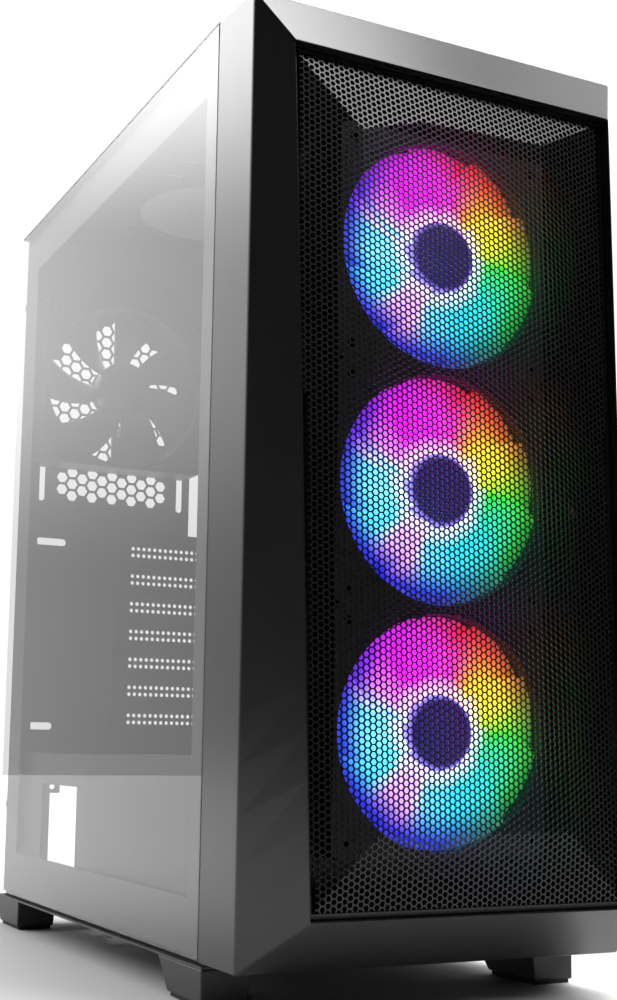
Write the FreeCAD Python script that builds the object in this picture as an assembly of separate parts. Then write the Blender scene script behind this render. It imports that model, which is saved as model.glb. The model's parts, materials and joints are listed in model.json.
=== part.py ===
import FreeCAD, Part
import math
import os

# Mid-tower computer case with three lit front fans, a rear fan and a glass side.
# +X is the right-hand side seen from the front, +Y points to the rear, +Z is up.
# The origin is on the floor, under the centre of the whole case's outline.
# Sizes are in millimetres.

V = FreeCAD.Vector

# ---- overall sizes -------------------------------------------------------
case_width = 213.8
body_height = 469.3            # underside of the front bezel to the top skin
foot_height = 18.3             # floor to the underside of the chassis
lip_height = 2.2               # chassis floor shows this far below the bezel
bezel_side = 42.8              # depth of the bezel's flat side
panel_length = 367.6           # side panels, from the bezel to the rear edge
crest_reach_low = 37.4         # bezel crest ahead of its outer edge, at the bottom
crest_reach_high = 17.9        # and at the top
crest_inset_low = 19.6         # crest in from the side, at the bottom
crest_inset_high = 14.5        # and at the top
crest_foot = 26.6              # crest's lower corner above the bezel's underside
crest_head = 33.1              # crest's upper corner below the top skin
bezel_nose_drop = 3.3          # bezel's top slopes down this far to its front edge

# ---- sheet, walls and gaps ----------------------------------------------
sheet = 1.0
moulding = 2.5                 # bezel wall
glass_thick = 4.0
frame_strip = 1.2              # steel frame behind the glass
slide_gap = 0.3                # between the side panels and the chassis
loose_gap = 0.3                # between pieces that move past each other
snug_gap = 0.15                # between pieces that stay together
run_gap = 0.04                 # radial clearance of a turning shaft
fold = 12.0                    # depth of a folded sheet edge

# ---- fans ----------------------------------------------------------------
fan_size = 120.0
fan_depth = 25.0
fan_hole_pitch = 105.0
fan_hole_r = 2.15
fan_bore_r = 58.0
fan_spacing = 120.0
fan_corner_r = 5.0
fan_front_reach = 3.0          # fans' front faces ahead of the bezel's outer edge
front_fan_middle = 230.0       # height of the middle fan above the bezel's underside
rear_fan_x = -37.5
rear_fan_height = 359.7
hub_r = 18.8
hub_wall = 1.8
blade_tip_r = 56.0
blade_thick = 1.6
front_blades = 9
rear_blades = 7
shaft_r = 1.5
sleeve_r = 4.0
motor_base_r = 19.0
motor_base_thick = 3.0
strut_width = 4.0
strut_recess = 0.5
strut_root = 1.0               # struts sink into the housing
sleeve_length = 12.0
hub_front = 1.0                # hub behind the housing's front face
hub_depth = 17.0
blade_middle = 10.0
blade_tip_gap = 4.5
blade_root = (11.0, 42.0, 0.0) # chord, pitch in degrees and lead
blade_waist = (21.0, 34.0, 2.5)
blade_tip = (27.0, 26.0, 7.0)
screw_r = 1.9
screw_head_r = 4.0
screw_head = 2.5
screw_reach = 10.0

# ---- rear wall -----------------------------------------------------------
rear_recess = 12.2             # rear wall ahead of the side panels' rear edges
slot_pitch = 20.32
slot_count = 7
top_slot = 243.0               # highest expansion slot above the bezel's underside
slot_open = 13.0
slot_left = -27.0
slot_right = 70.0
tab_x = -33.0
tab_height = 12.0
ledge_depth = 10.0
hex_pitch = 8.67
hex_hole = 7.0
vent_low = 280.5
vent_columns = 11
io_width = 44.45
io_height = 158.75
io_left = 23.0
io_low = 258.0
slot_half_wide = 2.35          # rear fan's long screw slots
slot_drop = 32.0
slot_rise = 14.0
slot_over = 5.0
vent_slot_upper = (-92.7, -70.7, 243.5, 248.5)
vent_slot_lower = (-93.1, -76.4, 112.2, 117.2)
thumb_hole_gap = 0.4
thumb_lip_reach = 7.0
lip_gap = 1.4                  # side panel's flange behind the chassis lip
psu_left = -76.0
psu_right = 68.0
psu_low = 8.0
psu_high = 75.0
thumb_x = 96.0
thumb_heights = (60.0, 420.0)
thumb_head_r = 6.3
thumb_head = 6.6
thumb_shank_r = 1.6
thumb_shank = 9.0

# ---- inside --------------------------------------------------------------
tray_x = 75.0
standoff = 6.5
standoff_r = 2.8
board_hole_r = 1.25
board_columns = (0.0, 124.46, 227.33)
board_rows = (0.0, 154.94, 281.94)
board_rear_gap = 10.0          # rear column of board holes ahead of the rear wall
board_top = 425.0
shroud_height = 96.0
shroud_x = -98.5
cage_width = 104.0
cage_front = 70.0
cage_length = 150.0
bay_height = 30.0
bay_count = 2

# ---- top, feet and filters ----------------------------------------------
filter_width = 132.0
filter_front_gap = 50.0
filter_rear_gap = 25.0
filter_thick = 1.5
filter_border = 6.0
io_plate_width = 120.0
io_plate_length = 22.0
io_plate_gap = 8.0
io_plate_proud = 0.4
power_r = 7.0
reset_r = 3.0
button_travel = 1.5
foot_width = 26.0
foot_front = 38.0              # front feet behind the bezel's outer edge
foot_length = 58.0
foot_taper = 14.0
foot_inset = 1.5
pad_thick = 2.0
psu_filter_width = 140.0
psu_filter_length = 168.0
psu_filter_thick = 2.0

# ---- places worked out from the sizes ------------------------------------
half_w = case_width / 2
depth = crest_reach_low + bezel_side + panel_length + thumb_head
y_front = -depth / 2
y_edge = y_front + crest_reach_low
y_seam = y_edge + bezel_side
y_rear = y_seam + panel_length
y_wall = y_rear - rear_recess
z_under = foot_height
z_body = z_under + lip_height
z_top = z_body + body_height
z_floor = z_under + sheet
frame_x = half_w - glass_thick - frame_strip - slide_gap
fan_y = y_edge - fan_front_reach
fan_back_y = fan_y + fan_depth
wall_y = fan_back_y + sheet
z_shroud = z_body + shroud_height
bar_gap = 0.7


def box(x0, x1, y0, y1, z0, z1):
    """Block between two opposite corners."""
    return Part.makeBox(x1 - x0, y1 - y0, z1 - z0, V(x0, y0, z0))


def rod(r, start, length, axis):
    """Round bar from a start point along an axis."""
    return Part.makeCylinder(r, length, V(*start), V(*axis))


def joined(shapes):
    """One solid from overlapping or touching solids."""
    first = shapes[0]
    rest = shapes[1:]
    if not rest:
        return first
    return first.fuse(rest).removeSplitter()


def group(shapes):
    """Separate solids kept together."""
    return Part.makeCompound(shapes)


def polygon(points):
    """Closed wire through corner points."""
    corners = [V(*p) for p in points]
    return Part.makePolygon(corners + corners[:1])


def plate(outline, holes, along):
    """Sheet from an outline with hole wires, thickened along a vector."""
    face = Part.makeFace([outline] + holes, "Part::FaceMakerBullseye")
    return face.extrude(V(*along))


def rect_xz(x0, x1, z0, z1, y):
    """Rectangle facing the rear or the front."""
    return polygon([(x0, y, z0), (x1, y, z0), (x1, y, z1), (x0, y, z1)])


def rect_xy(x0, x1, y0, y1, z):
    """Rectangle lying flat."""
    return polygon([(x0, y0, z), (x1, y0, z), (x1, y1, z), (x0, y1, z)])


def rect_yz(y0, y1, z0, z1, x):
    """Rectangle facing the side."""
    return polygon([(x, y0, z0), (x, y1, z0), (x, y1, z1), (x, y0, z1)])


def circle(x, y, z, r, axis):
    """Round hole wire."""
    return Part.Wire(Part.makeCircle(r, V(x, y, z), V(*axis)))


def slot_xz(x0, x1, z0, z1, y):
    """Slot with round ends along its longer side, facing the rear."""
    wide = x1 - x0
    tall = z1 - z0
    r = min(wide, tall) / 2
    if tall > wide:
        low, high = V(x0 + r, y, z0 + r), V(x0 + r, y, z1 - r)
        side = V(r, 0, 0)
        end = V(0, 0, r)
    else:
        low, high = V(x0 + r, y, z0 + r), V(x1 - r, y, z0 + r)
        side = V(0, 0, -r)
        end = V(r, 0, 0)
    edges = [
        Part.makeLine(low + side, high + side),
        Part.Arc(high + side, high + end, high - side).toShape(),
        Part.makeLine(high - side, low - side),
        Part.Arc(low - side, low - end, low + side).toShape(),
    ]
    return Part.Wire(edges)


def hexagon(x, y, z, across):
    """Six-sided hole with corners to the left and right, facing the rear."""
    r = across / math.sqrt(3)
    turn = math.pi / 3
    return polygon([(x + r * math.cos(i * turn), y, z + r * math.sin(i * turn)) for i in range(6)])


def solid_from(faces):
    """Closed solid from faces that meet along their edges."""
    shell = Part.makeShell(faces)
    shell.sewShape()
    body = Part.makeSolid(shell)
    if body.Volume < 0:
        body.reverse()
    return body


def patch(a, b, c, d):
    """Four-cornered face: flat where the corners are in one plane, ruled where they are not."""
    pts = [V(*p) for p in (a, b, c, d)]
    normal = (pts[1] - pts[0]).cross(pts[2] - pts[0])
    off = abs(normal.dot(pts[3] - pts[0])) / max(normal.Length, 1e-9)
    if off < 1e-6:
        return Part.Face(Part.makePolygon(pts + pts[:1]))
    return Part.makeRuledSurface(Part.makeLine(pts[0], pts[1]), Part.makeLine(pts[3], pts[2]))


def ring(x_high, y_high, z_high, x_low, y_low, z_low):
    """Four corners of a picture-frame outline, clockwise from the top left."""
    return [(-x_high, y_high, z_high), (x_high, y_high, z_high), (x_low, y_low, z_low), (-x_low, y_low, z_low)]


def frame_solid(rings):
    """Hollow frame whose section runs through the rings in turn and back to the first."""
    faces = []
    for here, after in zip(rings, rings[1:] + rings[:1]):
        for k in range(4):
            m = (k + 1) % 4
            faces.append(patch(here[k], here[m], after[m], after[k]))
    return solid_from(faces)


def save(name, shape):
    """Write one sub-part."""
    shape.exportStep(os.path.join("parts", name + ".step"))
    print(name, len(shape.Solids), round(shape.Volume), shape.isValid())


# ---- front cover ---------------------------------------------------------
crest_x_high = half_w - crest_inset_high
crest_x_low = half_w - crest_inset_low
crest_y_high = y_edge - crest_reach_high
crest_y_low = y_edge - crest_reach_low
crest_z_high = z_top - crest_head
crest_z_low = z_body + crest_foot
return_depth = 16.0            # bezel turns back this far behind its crest
return_wall = 2.0
mesh_recess = 6.0
mesh_skirt = 9.0
mesh_thick = 1.2
facet_rise = 5.5               # mesh facets stand out this far from the rim
return_high = 3.25             # underside of the bevel behind the crest, at the top
return_low = 4.5
rim_count = 9
rim_top_share = 0.48           # where facet edges meet the mesh's rim, as shares of its sides
rim_left_shares = (0.53, 0.89)
rim_right_shares = (0.40, 0.82)
clip_x = half_w - 10.0
clip_heights = (30.0, 230.0, 405.0)
clip_boss_r = 4.0
clip_r = 2.2
clip_hole_r = 2.6
clip_length = 6.0


def front_bezel():
    """Moulded picture frame: flat sides, bevels rising to a crest, and a return behind it."""
    inner_x = half_w - moulding
    rings = [
        ring(half_w, y_seam, z_top, half_w, y_seam, z_body),
        ring(half_w, y_edge, z_top - bezel_nose_drop, half_w, y_edge, z_body),
        ring(crest_x_high, crest_y_high, crest_z_high, crest_x_low, crest_y_low, crest_z_low),
        ring(crest_x_high, crest_y_high + return_depth, crest_z_high,
             crest_x_low, crest_y_low + return_depth, crest_z_low),
        ring(crest_x_high + return_wall, crest_y_high + return_depth, crest_z_high + return_wall,
             crest_x_low + return_wall, crest_y_low + return_depth, crest_z_low - return_wall),
        ring(crest_x_high + return_wall, crest_y_high + return_high, crest_z_high + return_wall,
             crest_x_low + return_wall, crest_y_low + return_low, crest_z_low - return_wall),
        ring(inner_x, y_edge + sheet, z_top - bezel_nose_drop - moulding,
             inner_x, y_edge + sheet, z_body + moulding),
        ring(inner_x, y_seam, z_top - moulding, inner_x, y_seam, z_body + moulding),
    ]
    body = frame_solid(rings)
    outside = [patch(*rings[0]), patch(*rings[2])]
    for here, after in zip(rings[:2], rings[1:3]):
        for k in range(4):
            m = (k + 1) % 4
            outside.append(patch(here[k], here[m], after[m], after[k]))
    filled = solid_from(outside)
    bosses = []
    for side in (-1, 1):
        for height in clip_heights:
            start = y_edge - crest_reach_high
            stop = fan_back_y - loose_gap
            boss = rod(clip_boss_r, (side * clip_x, start, z_body + height), stop - start, (0, 1, 0))
            bosses.append(boss.common(filled))
    return body.fuse(bosses)


def bezel_clips():
    """Push-in pins on the bezel's bosses that hold it to the chassis."""
    pins = []
    for side in (-1, 1):
        for height in clip_heights:
            at = (side * clip_x, fan_back_y - loose_gap, z_body + height)
            pin = rod(clip_r, at, clip_length, (0, 1, 0))
            tip_edges = [e for e in pin.Edges if abs(e.CenterOfMass.y - at[1] - clip_length) < 1e-6]
            pins.append(pin.makeChamfer(clip_r / 3, tip_edges))
    return group(pins)


def mesh_outline(inset):
    """Perimeter points of the mesh, clockwise from the top left, as x and z."""
    xh = crest_x_high - snug_gap - inset
    xl = crest_x_low - snug_gap - inset
    zh = crest_z_high - snug_gap - inset
    zl = crest_z_low + snug_gap + inset

    def side(share):
        return xh + (xl - xh) * share, zh + (zl - zh) * share

    left_a, left_b = (side(share) for share in rim_left_shares)
    right_a, right_b = (side(share) for share in rim_right_shares)
    return [(-xh, zh), (-rim_top_share * xh, zh), (xh, zh), right_a, right_b, (xl, zl), (-xl, zl),
            (-left_b[0], left_b[1]), (-left_a[0], left_a[1])]


def front_mesh():
    """Steel mesh pressed into shallow facets, with a skirt that sits inside the bezel's return."""
    span = crest_z_high - crest_z_low

    def crest_y(z):
        return crest_y_low + (crest_y_high - crest_y_low) * (z - crest_z_low) / span

    inner = [(-0.62, 0.909), (-0.24, 0.936), (0.53, 0.943), (0.62, 0.565),
             (0.60, 0.09), (-0.60, 0.09), (-0.53, 0.32)]
    triangles = [(0, 1, 9), (1, 10, 9), (1, 11, 10), (1, 2, 11), (2, 3, 12), (2, 12, 11), (3, 4, 12),
                 (4, 13, 12), (4, 5, 13), (5, 6, 14), (5, 14, 13), (6, 7, 14), (7, 15, 14), (7, 8, 15),
                 (8, 0, 9), (8, 9, 15), (9, 10, 15), (10, 12, 15), (10, 11, 12), (15, 12, 13), (15, 13, 14)]

    def points(inset, back):
        rim = [(x, crest_y(z) + mesh_recess + back, z) for x, z in mesh_outline(inset)]
        lifted = []
        for u, w in inner:
            z = crest_z_low + w * span
            x = u * (crest_x_low + (crest_x_high - crest_x_low) * w)
            lifted.append((x, crest_y(z) + mesh_recess - facet_rise + back, z))
        return rim + lifted

    front = points(0, 0)
    back = points(mesh_thick, mesh_thick)
    outer_end = [(x, y + mesh_skirt, z) for x, y, z in front[:rim_count]]
    inner_end = [(x, y + mesh_skirt - mesh_thick, z) for x, y, z in back[:rim_count]]
    faces = [Part.Face(polygon([front[i] for i in t])) for t in triangles]
    faces += [Part.Face(polygon([back[i] for i in t])) for t in triangles]
    for i in range(rim_count):
        j = (i + 1) % rim_count
        faces.append(patch(front[i], front[j], outer_end[j], outer_end[i]))
        faces.append(patch(back[i], back[j], inner_end[j], inner_end[i]))
        faces.append(patch(outer_end[i], outer_end[j], inner_end[j], inner_end[i]))
    return solid_from(faces)


# ---- chassis sheets ------------------------------------------------------
def fan_corners(x, z):
    """Screw places of a fan centred at x, z."""
    reach = fan_hole_pitch / 2
    return [(x + sx * reach, z + sz * reach) for sx in (-1, 1) for sz in (-1, 1)]


front_fan_z = [z_body + front_fan_middle + k * fan_spacing for k in (1, 0, -1)]
rear_fan_z = z_body + rear_fan_height
flange_top = z_top - moulding - bezel_nose_drop / 2 - bar_gap
flange_low = z_body + moulding + bar_gap
screw_hole_gap = 0.4
screw_hole_r = screw_r + screw_hole_gap


def front_fan_wall():
    """Steel wall that carries the front fans, with its four edges folded back."""
    holes = []
    for z in front_fan_z:
        holes.append(circle(0, fan_back_y, z, fan_bore_r, (0, 1, 0)))
        holes += [circle(x, fan_back_y, c, screw_hole_r, (0, 1, 0)) for x, c in fan_corners(0, z)]
    for side in (-1, 1):
        holes += [circle(side * clip_x, fan_back_y, z_body + h, clip_hole_r, (0, 1, 0)) for h in clip_heights]
    face = plate(rect_xz(-frame_x, frame_x, flange_low, flange_top, fan_back_y), holes, (0, sheet, 0))
    edges = [
        box(-frame_x, frame_x, fan_back_y, y_seam, flange_top - sheet, flange_top),
        box(-frame_x, frame_x, fan_back_y, y_seam, flange_low, flange_low + sheet),
        box(-frame_x, -frame_x + sheet, fan_back_y, y_seam, flange_low, flange_top),
        box(frame_x - sheet, frame_x, fan_back_y, y_seam, flange_low, flange_top),
    ]
    return joined([face] + edges)


psu_vent_y = y_wall - 150.0
psu_vent_size = 118.0
psu_vent_rows = 9
psu_vent_open = 0.6            # open share of each row
rail_lip = 2.0
rail_stop = 6.0


def bottom_panel():
    """Floor sheet with a slotted power supply inlet, a front fold, side folds and filter rails."""
    holes = []
    pitch = psu_vent_size / psu_vent_rows
    for k in range(psu_vent_rows):
        y0 = psu_vent_y + k * pitch
        y1 = y0 + pitch * psu_vent_open
        holes.append(rect_xy(-psu_vent_size / 2, -pitch / 2, y0, y1, z_under))
        holes.append(rect_xy(pitch / 2, psu_vent_size / 2, y0, y1, z_under))
    y_start = y_edge + foot_front
    floor = plate(rect_xy(-half_w, half_w, y_start, y_rear, z_under), holes, (0, 0, sheet))
    front_fold = box(-frame_x, frame_x, y_seam, y_seam + sheet, z_floor, flange_low + sheet)
    rails = []
    rail_x = psu_filter_width / 2 + loose_gap
    rail_drop = psu_filter_thick + loose_gap
    for side in (-1, 1):
        a, b = sorted((side * rail_x, side * (rail_x + sheet)))
        c, d = sorted((side * (rail_x - rail_lip - sheet), side * (rail_x + sheet)))
        y0 = y_rear - psu_filter_length
        y1 = y_rear - rail_stop
        rails.append(box(a, b, y0, y1, z_under - rail_drop - sheet, z_under))
        rails.append(box(c, d, y0, y1, z_under - rail_drop - sheet, z_under - rail_drop))
    return joined([floor, front_fold] + rails)


top_vent_gap = 12.0
top_vent_spacing = 130.0
top_vent_rim = 3.0             # vents are this much smaller than a fan's bore
top_vent_first = y_seam + filter_front_gap + top_vent_gap + fan_size / 2
top_vent_y = (top_vent_first, top_vent_first + top_vent_spacing)
top_slot_length = 12.0
top_slot_r = 2.2
io_y0 = y_seam + io_plate_gap
io_y1 = io_y0 + io_plate_length


def slot_xy(x, y, z, length, r):
    """Slot with round ends along X, lying flat."""
    low = V(x - length / 2 + r, y, z)
    high = V(x + length / 2 - r, y, z)
    side = V(0, r, 0)
    end = V(r, 0, 0)
    edges = [
        Part.makeLine(low + side, high + side),
        Part.Arc(high + side, high + end, high - side).toShape(),
        Part.makeLine(high - side, low - side),
        Part.Arc(low - side, low - end, low + side).toShape(),
    ]
    return Part.Wire(edges)


def top_panel():
    """Top skin with two fan openings, their slotted holes and the cut-out of the control strip."""
    z = z_top - sheet
    holes = [rect_xy(-io_plate_width / 2 - snug_gap, io_plate_width / 2 + snug_gap,
                     io_y0 - snug_gap, io_y1 + snug_gap, z)]
    for y in top_vent_y:
        holes.append(circle(0, y, z, fan_bore_r - top_vent_rim, (0, 0, 1)))
        for sx in (-1, 1):
            for sy in (-1, 1):
                holes.append(slot_xy(sx * fan_hole_pitch / 2, y + sy * fan_hole_pitch / 2, z,
                                     top_slot_length, top_slot_r))
    skin = plate(rect_xy(-half_w, half_w, y_seam, y_rear, z), holes, (0, 0, sheet))
    front_fold = box(-frame_x, frame_x, y_seam, y_seam + sheet, flange_top - sheet, z)
    side_folds = [
        box(-frame_x, -frame_x + sheet, y_seam, y_wall, z - fold, z),
        box(frame_x - sheet, frame_x, y_seam, y_wall, z - fold, z),
    ]
    return joined([skin, front_fold] + side_folds)


slot_heights = [z_body + top_slot - k * slot_pitch for k in range(slot_count)]
rear_lip_y = y_rear - sheet - lip_gap


def honeycomb(y):
    """Six-sided vent holes: all inside the fan's circle, and a block of them below it."""
    wires = []
    column = hex_pitch * math.sqrt(3) / 2
    reach = fan_bore_r - hex_hole
    for i in range(-(vent_columns // 2) - 2, vent_columns // 2 + 3):
        x = rear_fan_x + i * column
        shift = hex_pitch / 2 if i % 2 else 0.0
        for j in range(24):
            z = z_body + vent_low + shift + j * hex_pitch
            in_circle = math.hypot(x - rear_fan_x, z - rear_fan_z) < reach
            in_block = abs(i) <= vent_columns // 2 and z < rear_fan_z - fan_bore_r - hex_hole / 2
            if in_circle or in_block:
                wires.append(hexagon(x, y, z, hex_hole))
    return wires


psu_hole_pitch = 138.0
psu_hole_inset = 1.5
psu_hole_drop = 2.5
psu_hole_x = (psu_left + psu_hole_inset, psu_left + psu_hole_inset + psu_hole_pitch)
psu_hole_z = z_body + psu_high - psu_hole_drop
psu_tab = 7.0
psu_hole_r = 1.9
tab_hole_r = screw_hole_r - 0.2


def rear_panel():
    """Rear wall with its vent, slots and openings, two folded sides and rear-facing lips."""
    y = y_wall
    cuts = honeycomb(y)
    reach = fan_hole_pitch / 2
    for x in (rear_fan_x - reach, rear_fan_x + reach):
        x0 = x - slot_half_wide
        x1 = x + slot_half_wide
        low = rear_fan_z - reach
        high = rear_fan_z + reach
        cuts.append(slot_xz(x0, x1, low - slot_drop, low + slot_over, y))
        cuts.append(slot_xz(x0, x1, high - slot_rise, high + slot_over, y))
    for x0, x1, low, high in (vent_slot_upper, vent_slot_lower):
        cuts.append(slot_xz(x0, x1, z_body + low, z_body + high, y))
    cuts.append(rect_xz(io_left, io_left + io_width, z_body + io_low, z_body + io_low + io_height, y))
    for z in slot_heights:
        cuts.append(rect_xz(slot_left, slot_right, z - slot_open / 2, z + slot_open / 2, y))
        half_tab = tab_height / 2 + snug_gap
        cuts.append(rect_xz(tab_x - snug_gap, tab_x + sheet + snug_gap * 2, z - half_tab, z + half_tab, y))
    tall = z_body + psu_high
    low = z_body + psu_low
    cuts.append(polygon([(psu_left, y, low), (psu_right, y, low), (psu_right, y, tall - psu_tab),
                         (psu_right - 2 * psu_tab, y, tall - psu_tab), (psu_right - 2 * psu_tab, y, tall),
                         (psu_left + psu_tab, y, tall), (psu_left + psu_tab, y, tall - psu_tab),
                         (psu_left, y, tall - psu_tab)]))
    for x in psu_hole_x:
        cuts.append(circle(x, y, psu_hole_z, psu_hole_r, (0, 1, 0)))
    wall = plate(rect_xz(-frame_x, frame_x, z_floor, z_top - sheet, y), cuts, (0, sheet, 0))
    parts = [wall]
    for side in (-1, 1):
        a, b = sorted((side * (frame_x - sheet), side * frame_x))
        parts.append(box(a, b, y, rear_lip_y + sheet, z_floor, z_top - sheet))
        c, d = sorted((side * (thumb_x - thumb_lip_reach), side * frame_x))
        holes = [circle(side * thumb_x, rear_lip_y, z_body + h, thumb_shank_r + thumb_hole_gap, (0, 1, 0))
                 for h in thumb_heights]
        parts.append(plate(rect_xz(c, d, z_floor, z_top - sheet, rear_lip_y), holes, (0, sheet, 0)))
    ledge_z0 = slot_heights[-1] - slot_pitch / 2
    ledge_z1 = slot_heights[0] + slot_pitch / 2
    holes = [circle(tab_x - snug_gap - sheet, y + ledge_depth / 2 + sheet, z, tab_hole_r, (1, 0, 0))
             for z in slot_heights]
    ledge = plate(rect_yz(y + sheet, y + ledge_depth, ledge_z0, ledge_z1, tab_x - snug_gap - sheet), holes,
                  (sheet, 0, 0))
    return joined(parts + [ledge])


cover_gap = 1.6                # between neighbouring covers
cover_overlap = 4.0            # covers reach this far past the slot
cover_hole = 2.6
cover_hole_pitch = 4.2
cover_hole_start = 7.0
cover_hole_columns = 20
cover_hole_row = 2.5
cover_screw_head_r = 3.2
cover_screw_head = 2.2
cover_screw_r = 1.6
cover_screw_length = 5.0
strip_width = 12.0


def expansion_cover(z):
    """Perforated blank over one expansion slot, with a tab that turns out through the wall."""
    y = y_wall - sheet
    half = (slot_pitch - cover_gap) / 2
    holes = []
    for k in range(cover_hole_columns):
        x = slot_left + cover_hole_start + k * cover_hole_pitch
        for row in (-cover_hole_row, cover_hole_row):
            holes.append(hexagon(x, y, z + row, cover_hole))
    blank = plate(rect_xz(tab_x, slot_right + cover_overlap, z - half, z + half, y), holes, (0, sheet, 0))
    tab_hole = [circle(tab_x, y_wall + ledge_depth / 2 + sheet, z, screw_hole_r, (1, 0, 0))]
    tab = plate(rect_yz(y, y_wall + ledge_depth, z - tab_height / 2, z + tab_height / 2, tab_x), tab_hole,
                (sheet, 0, 0))
    return joined([blank, tab])


def expansion_screws():
    """Screws through the covers' tabs into the ledge of the rear wall."""
    screws = []
    y = y_wall + ledge_depth / 2 + sheet
    for z in slot_heights:
        head = rod(cover_screw_head_r, (tab_x + sheet, y, z), cover_screw_head, (1, 0, 0))
        shank = rod(cover_screw_r, (tab_x + sheet, y, z), cover_screw_length, (-1, 0, 0))
        screws.append(joined([head, shank]))
    return group(screws)


def expansion_screw_cover():
    """Angled strip outside the rear wall that hides the expansion screws' points."""
    y = y_wall + sheet
    z0 = slot_heights[-1] - slot_pitch / 2
    z1 = slot_heights[0] + slot_pitch / 2
    x1 = tab_x - snug_gap - sheet - cover_screw_length
    x0 = x1 - strip_width
    base = box(x0, x1, y, y + sheet, z0, z1)
    wall = box(x1 - sheet, x1, y, y_wall + ledge_depth, z0, z1)
    return joined([base, wall])


cut_front = y_edge + 128.0
grommet_heights = (150.0, 245.0, 340.0)
grommet_tall = 62.0
grommet_wide = 26.0
grommet_wall = 3.0
cpu_y = y_wall - 165.0
cpu_z = z_body + 300.0
cpu_size = 105.0
psu_cable_front = 150.0        # cable opening low in the tray, ahead of the rear wall
psu_cable_rear = 40.0
psu_cable_low = 20.0
psu_cable_high = 80.0
stem_hole_r = 2.0
grommet_lip = 2.0
grommet_flange = 1.5


def tray_hole(z, inset):
    """Rounded upright opening in the tray for cables."""
    y0 = cut_front + inset
    y1 = cut_front + grommet_wide - inset
    z0 = z_body + z - grommet_tall / 2 + inset
    z1 = z_body + z + grommet_tall / 2 - inset
    r = (y1 - y0) / 2
    low = V(tray_x, y0 + r, z0 + r)
    high = V(tray_x, y0 + r, z1 - r)
    side = V(0, r, 0)
    end = V(0, 0, r)
    edges = [
        Part.makeLine(low + side, high + side),
        Part.Arc(high + side, high + end, high - side).toShape(),
        Part.makeLine(high - side, low - side),
        Part.Arc(low - side, low - end, low + side).toShape(),
    ]
    return Part.Wire(edges)


def board_points():
    """Mainboard screw places on the tray, as y and z."""
    y_back = y_wall - board_rear_gap
    return [(y_back - a, z_body + board_top - b) for a in board_columns for b in board_rows]


def motherboard_tray():
    """Inner wall that carries the mainboard, with cable openings and a cooler cut-out."""
    cuts = [tray_hole(z, 0) for z in grommet_heights]
    cuts.append(rect_yz(cpu_y, cpu_y + cpu_size, cpu_z, cpu_z + cpu_size, tray_x))
    cuts.append(rect_yz(y_wall - psu_cable_front, y_wall - psu_cable_rear,
                        z_body + psu_cable_low, z_body + psu_cable_high, tray_x))
    cuts += [circle(tray_x, y, z, stem_hole_r, (1, 0, 0)) for y, z in board_points()]
    return plate(rect_yz(y_seam + sheet, y_wall, z_floor, z_top - sheet, tray_x), cuts, (sheet, 0, 0))


def motherboard_standoffs():
    """Threaded pillars on the tray for the mainboard's screws."""
    pillars = []
    for y, z in board_points():
        pillar = rod(standoff_r, (tray_x, y, z), standoff, (-1, 0, 0))
        stem = rod(stem_hole_r - snug_gap, (tray_x, y, z), sheet * 2, (1, 0, 0))
        bore = rod(board_hole_r, (tray_x, y, z), standoff, (-1, 0, 0))
        pillars.append(joined([pillar, stem]).cut(bore))
    return group(pillars)


def cable_grommets():
    """Rubber rings that line the tray's upright cable openings, gripping both faces of the sheet."""
    rings = []
    for z in grommet_heights:
        sleeve = plate(tray_hole(z, snug_gap), [tray_hole(z, grommet_wall)], (sheet, 0, 0))
        flange = plate(tray_hole(z, -grommet_lip), [tray_hole(z, grommet_wall)], (-grommet_flange, 0, 0))
        back = plate(tray_hole(z, -grommet_lip), [tray_hole(z, grommet_wall)], (grommet_flange, 0, 0))
        back.translate(V(sheet, 0, 0))
        rings.append(joined([sleeve, flange, back]))
    return group(rings)


shroud_window = (265.0, 340.0, 12.0, 76.0)
shroud_slot_x = (45.0, 65.0)
shroud_slots = ((150.0, 210.0), (260.0, 320.0))
cage_centre = -10.0
pad_x = (-60.0, 52.0)
pad_back = (170.0, 18.0)       # rubber rests ahead of the rear wall
pad_half_wide = 8.0
pad_half_long = 5.0
pad_high = 3.0


def psu_shroud():
    """Cover over the power supply and drives, open at the rear, with a side window and cable slots."""
    y0 = y_seam + sheet
    front, rear, low, high = shroud_window
    window = rect_yz(y_edge + front, y_edge + rear, z_body + low, z_body + high, shroud_x)
    side = plate(rect_yz(y0, y_wall - sheet, z_floor, z_shroud, shroud_x), [window], (sheet, 0, 0))
    cable = [rect_xy(*shroud_slot_x, y_edge + a, y_edge + b, z_shroud - sheet) for a, b in shroud_slots]
    lid = plate(rect_xy(shroud_x, tray_x, y0, y_wall - sheet, z_shroud - sheet), cable, (0, 0, sheet))
    return joined([side, lid])


cage_y = y_edge + cage_front
cage_x = cage_centre - cage_width / 2


def drive_cage():
    """Two open bays for 3.5 inch drives, on the case floor behind the front fans."""
    x0 = cage_x - sheet
    x1 = cage_x + cage_width
    y1 = cage_y + cage_length
    z1 = z_floor + bay_count * (bay_height + sheet)
    parts = [box(x0, x0 + sheet, cage_y, y1, z_floor, z1), box(x1, x1 + sheet, cage_y, y1, z_floor, z1)]
    for k in range(1, bay_count + 1):
        z = z_floor + k * (bay_height + sheet)
        parts.append(box(x0, x1 + sheet, cage_y, y1, z - sheet, z))
    return joined(parts)


def psu_pads():
    """Rubber rests for the power supply."""
    pads = []
    for x in pad_x:
        for back in pad_back:
            y = y_wall - back
            pads.append(box(x - pad_half_wide, x + pad_half_wide, y - pad_half_long, y + pad_half_long,
                            z_floor, z_floor + pad_high))
    return group(pads)


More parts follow.
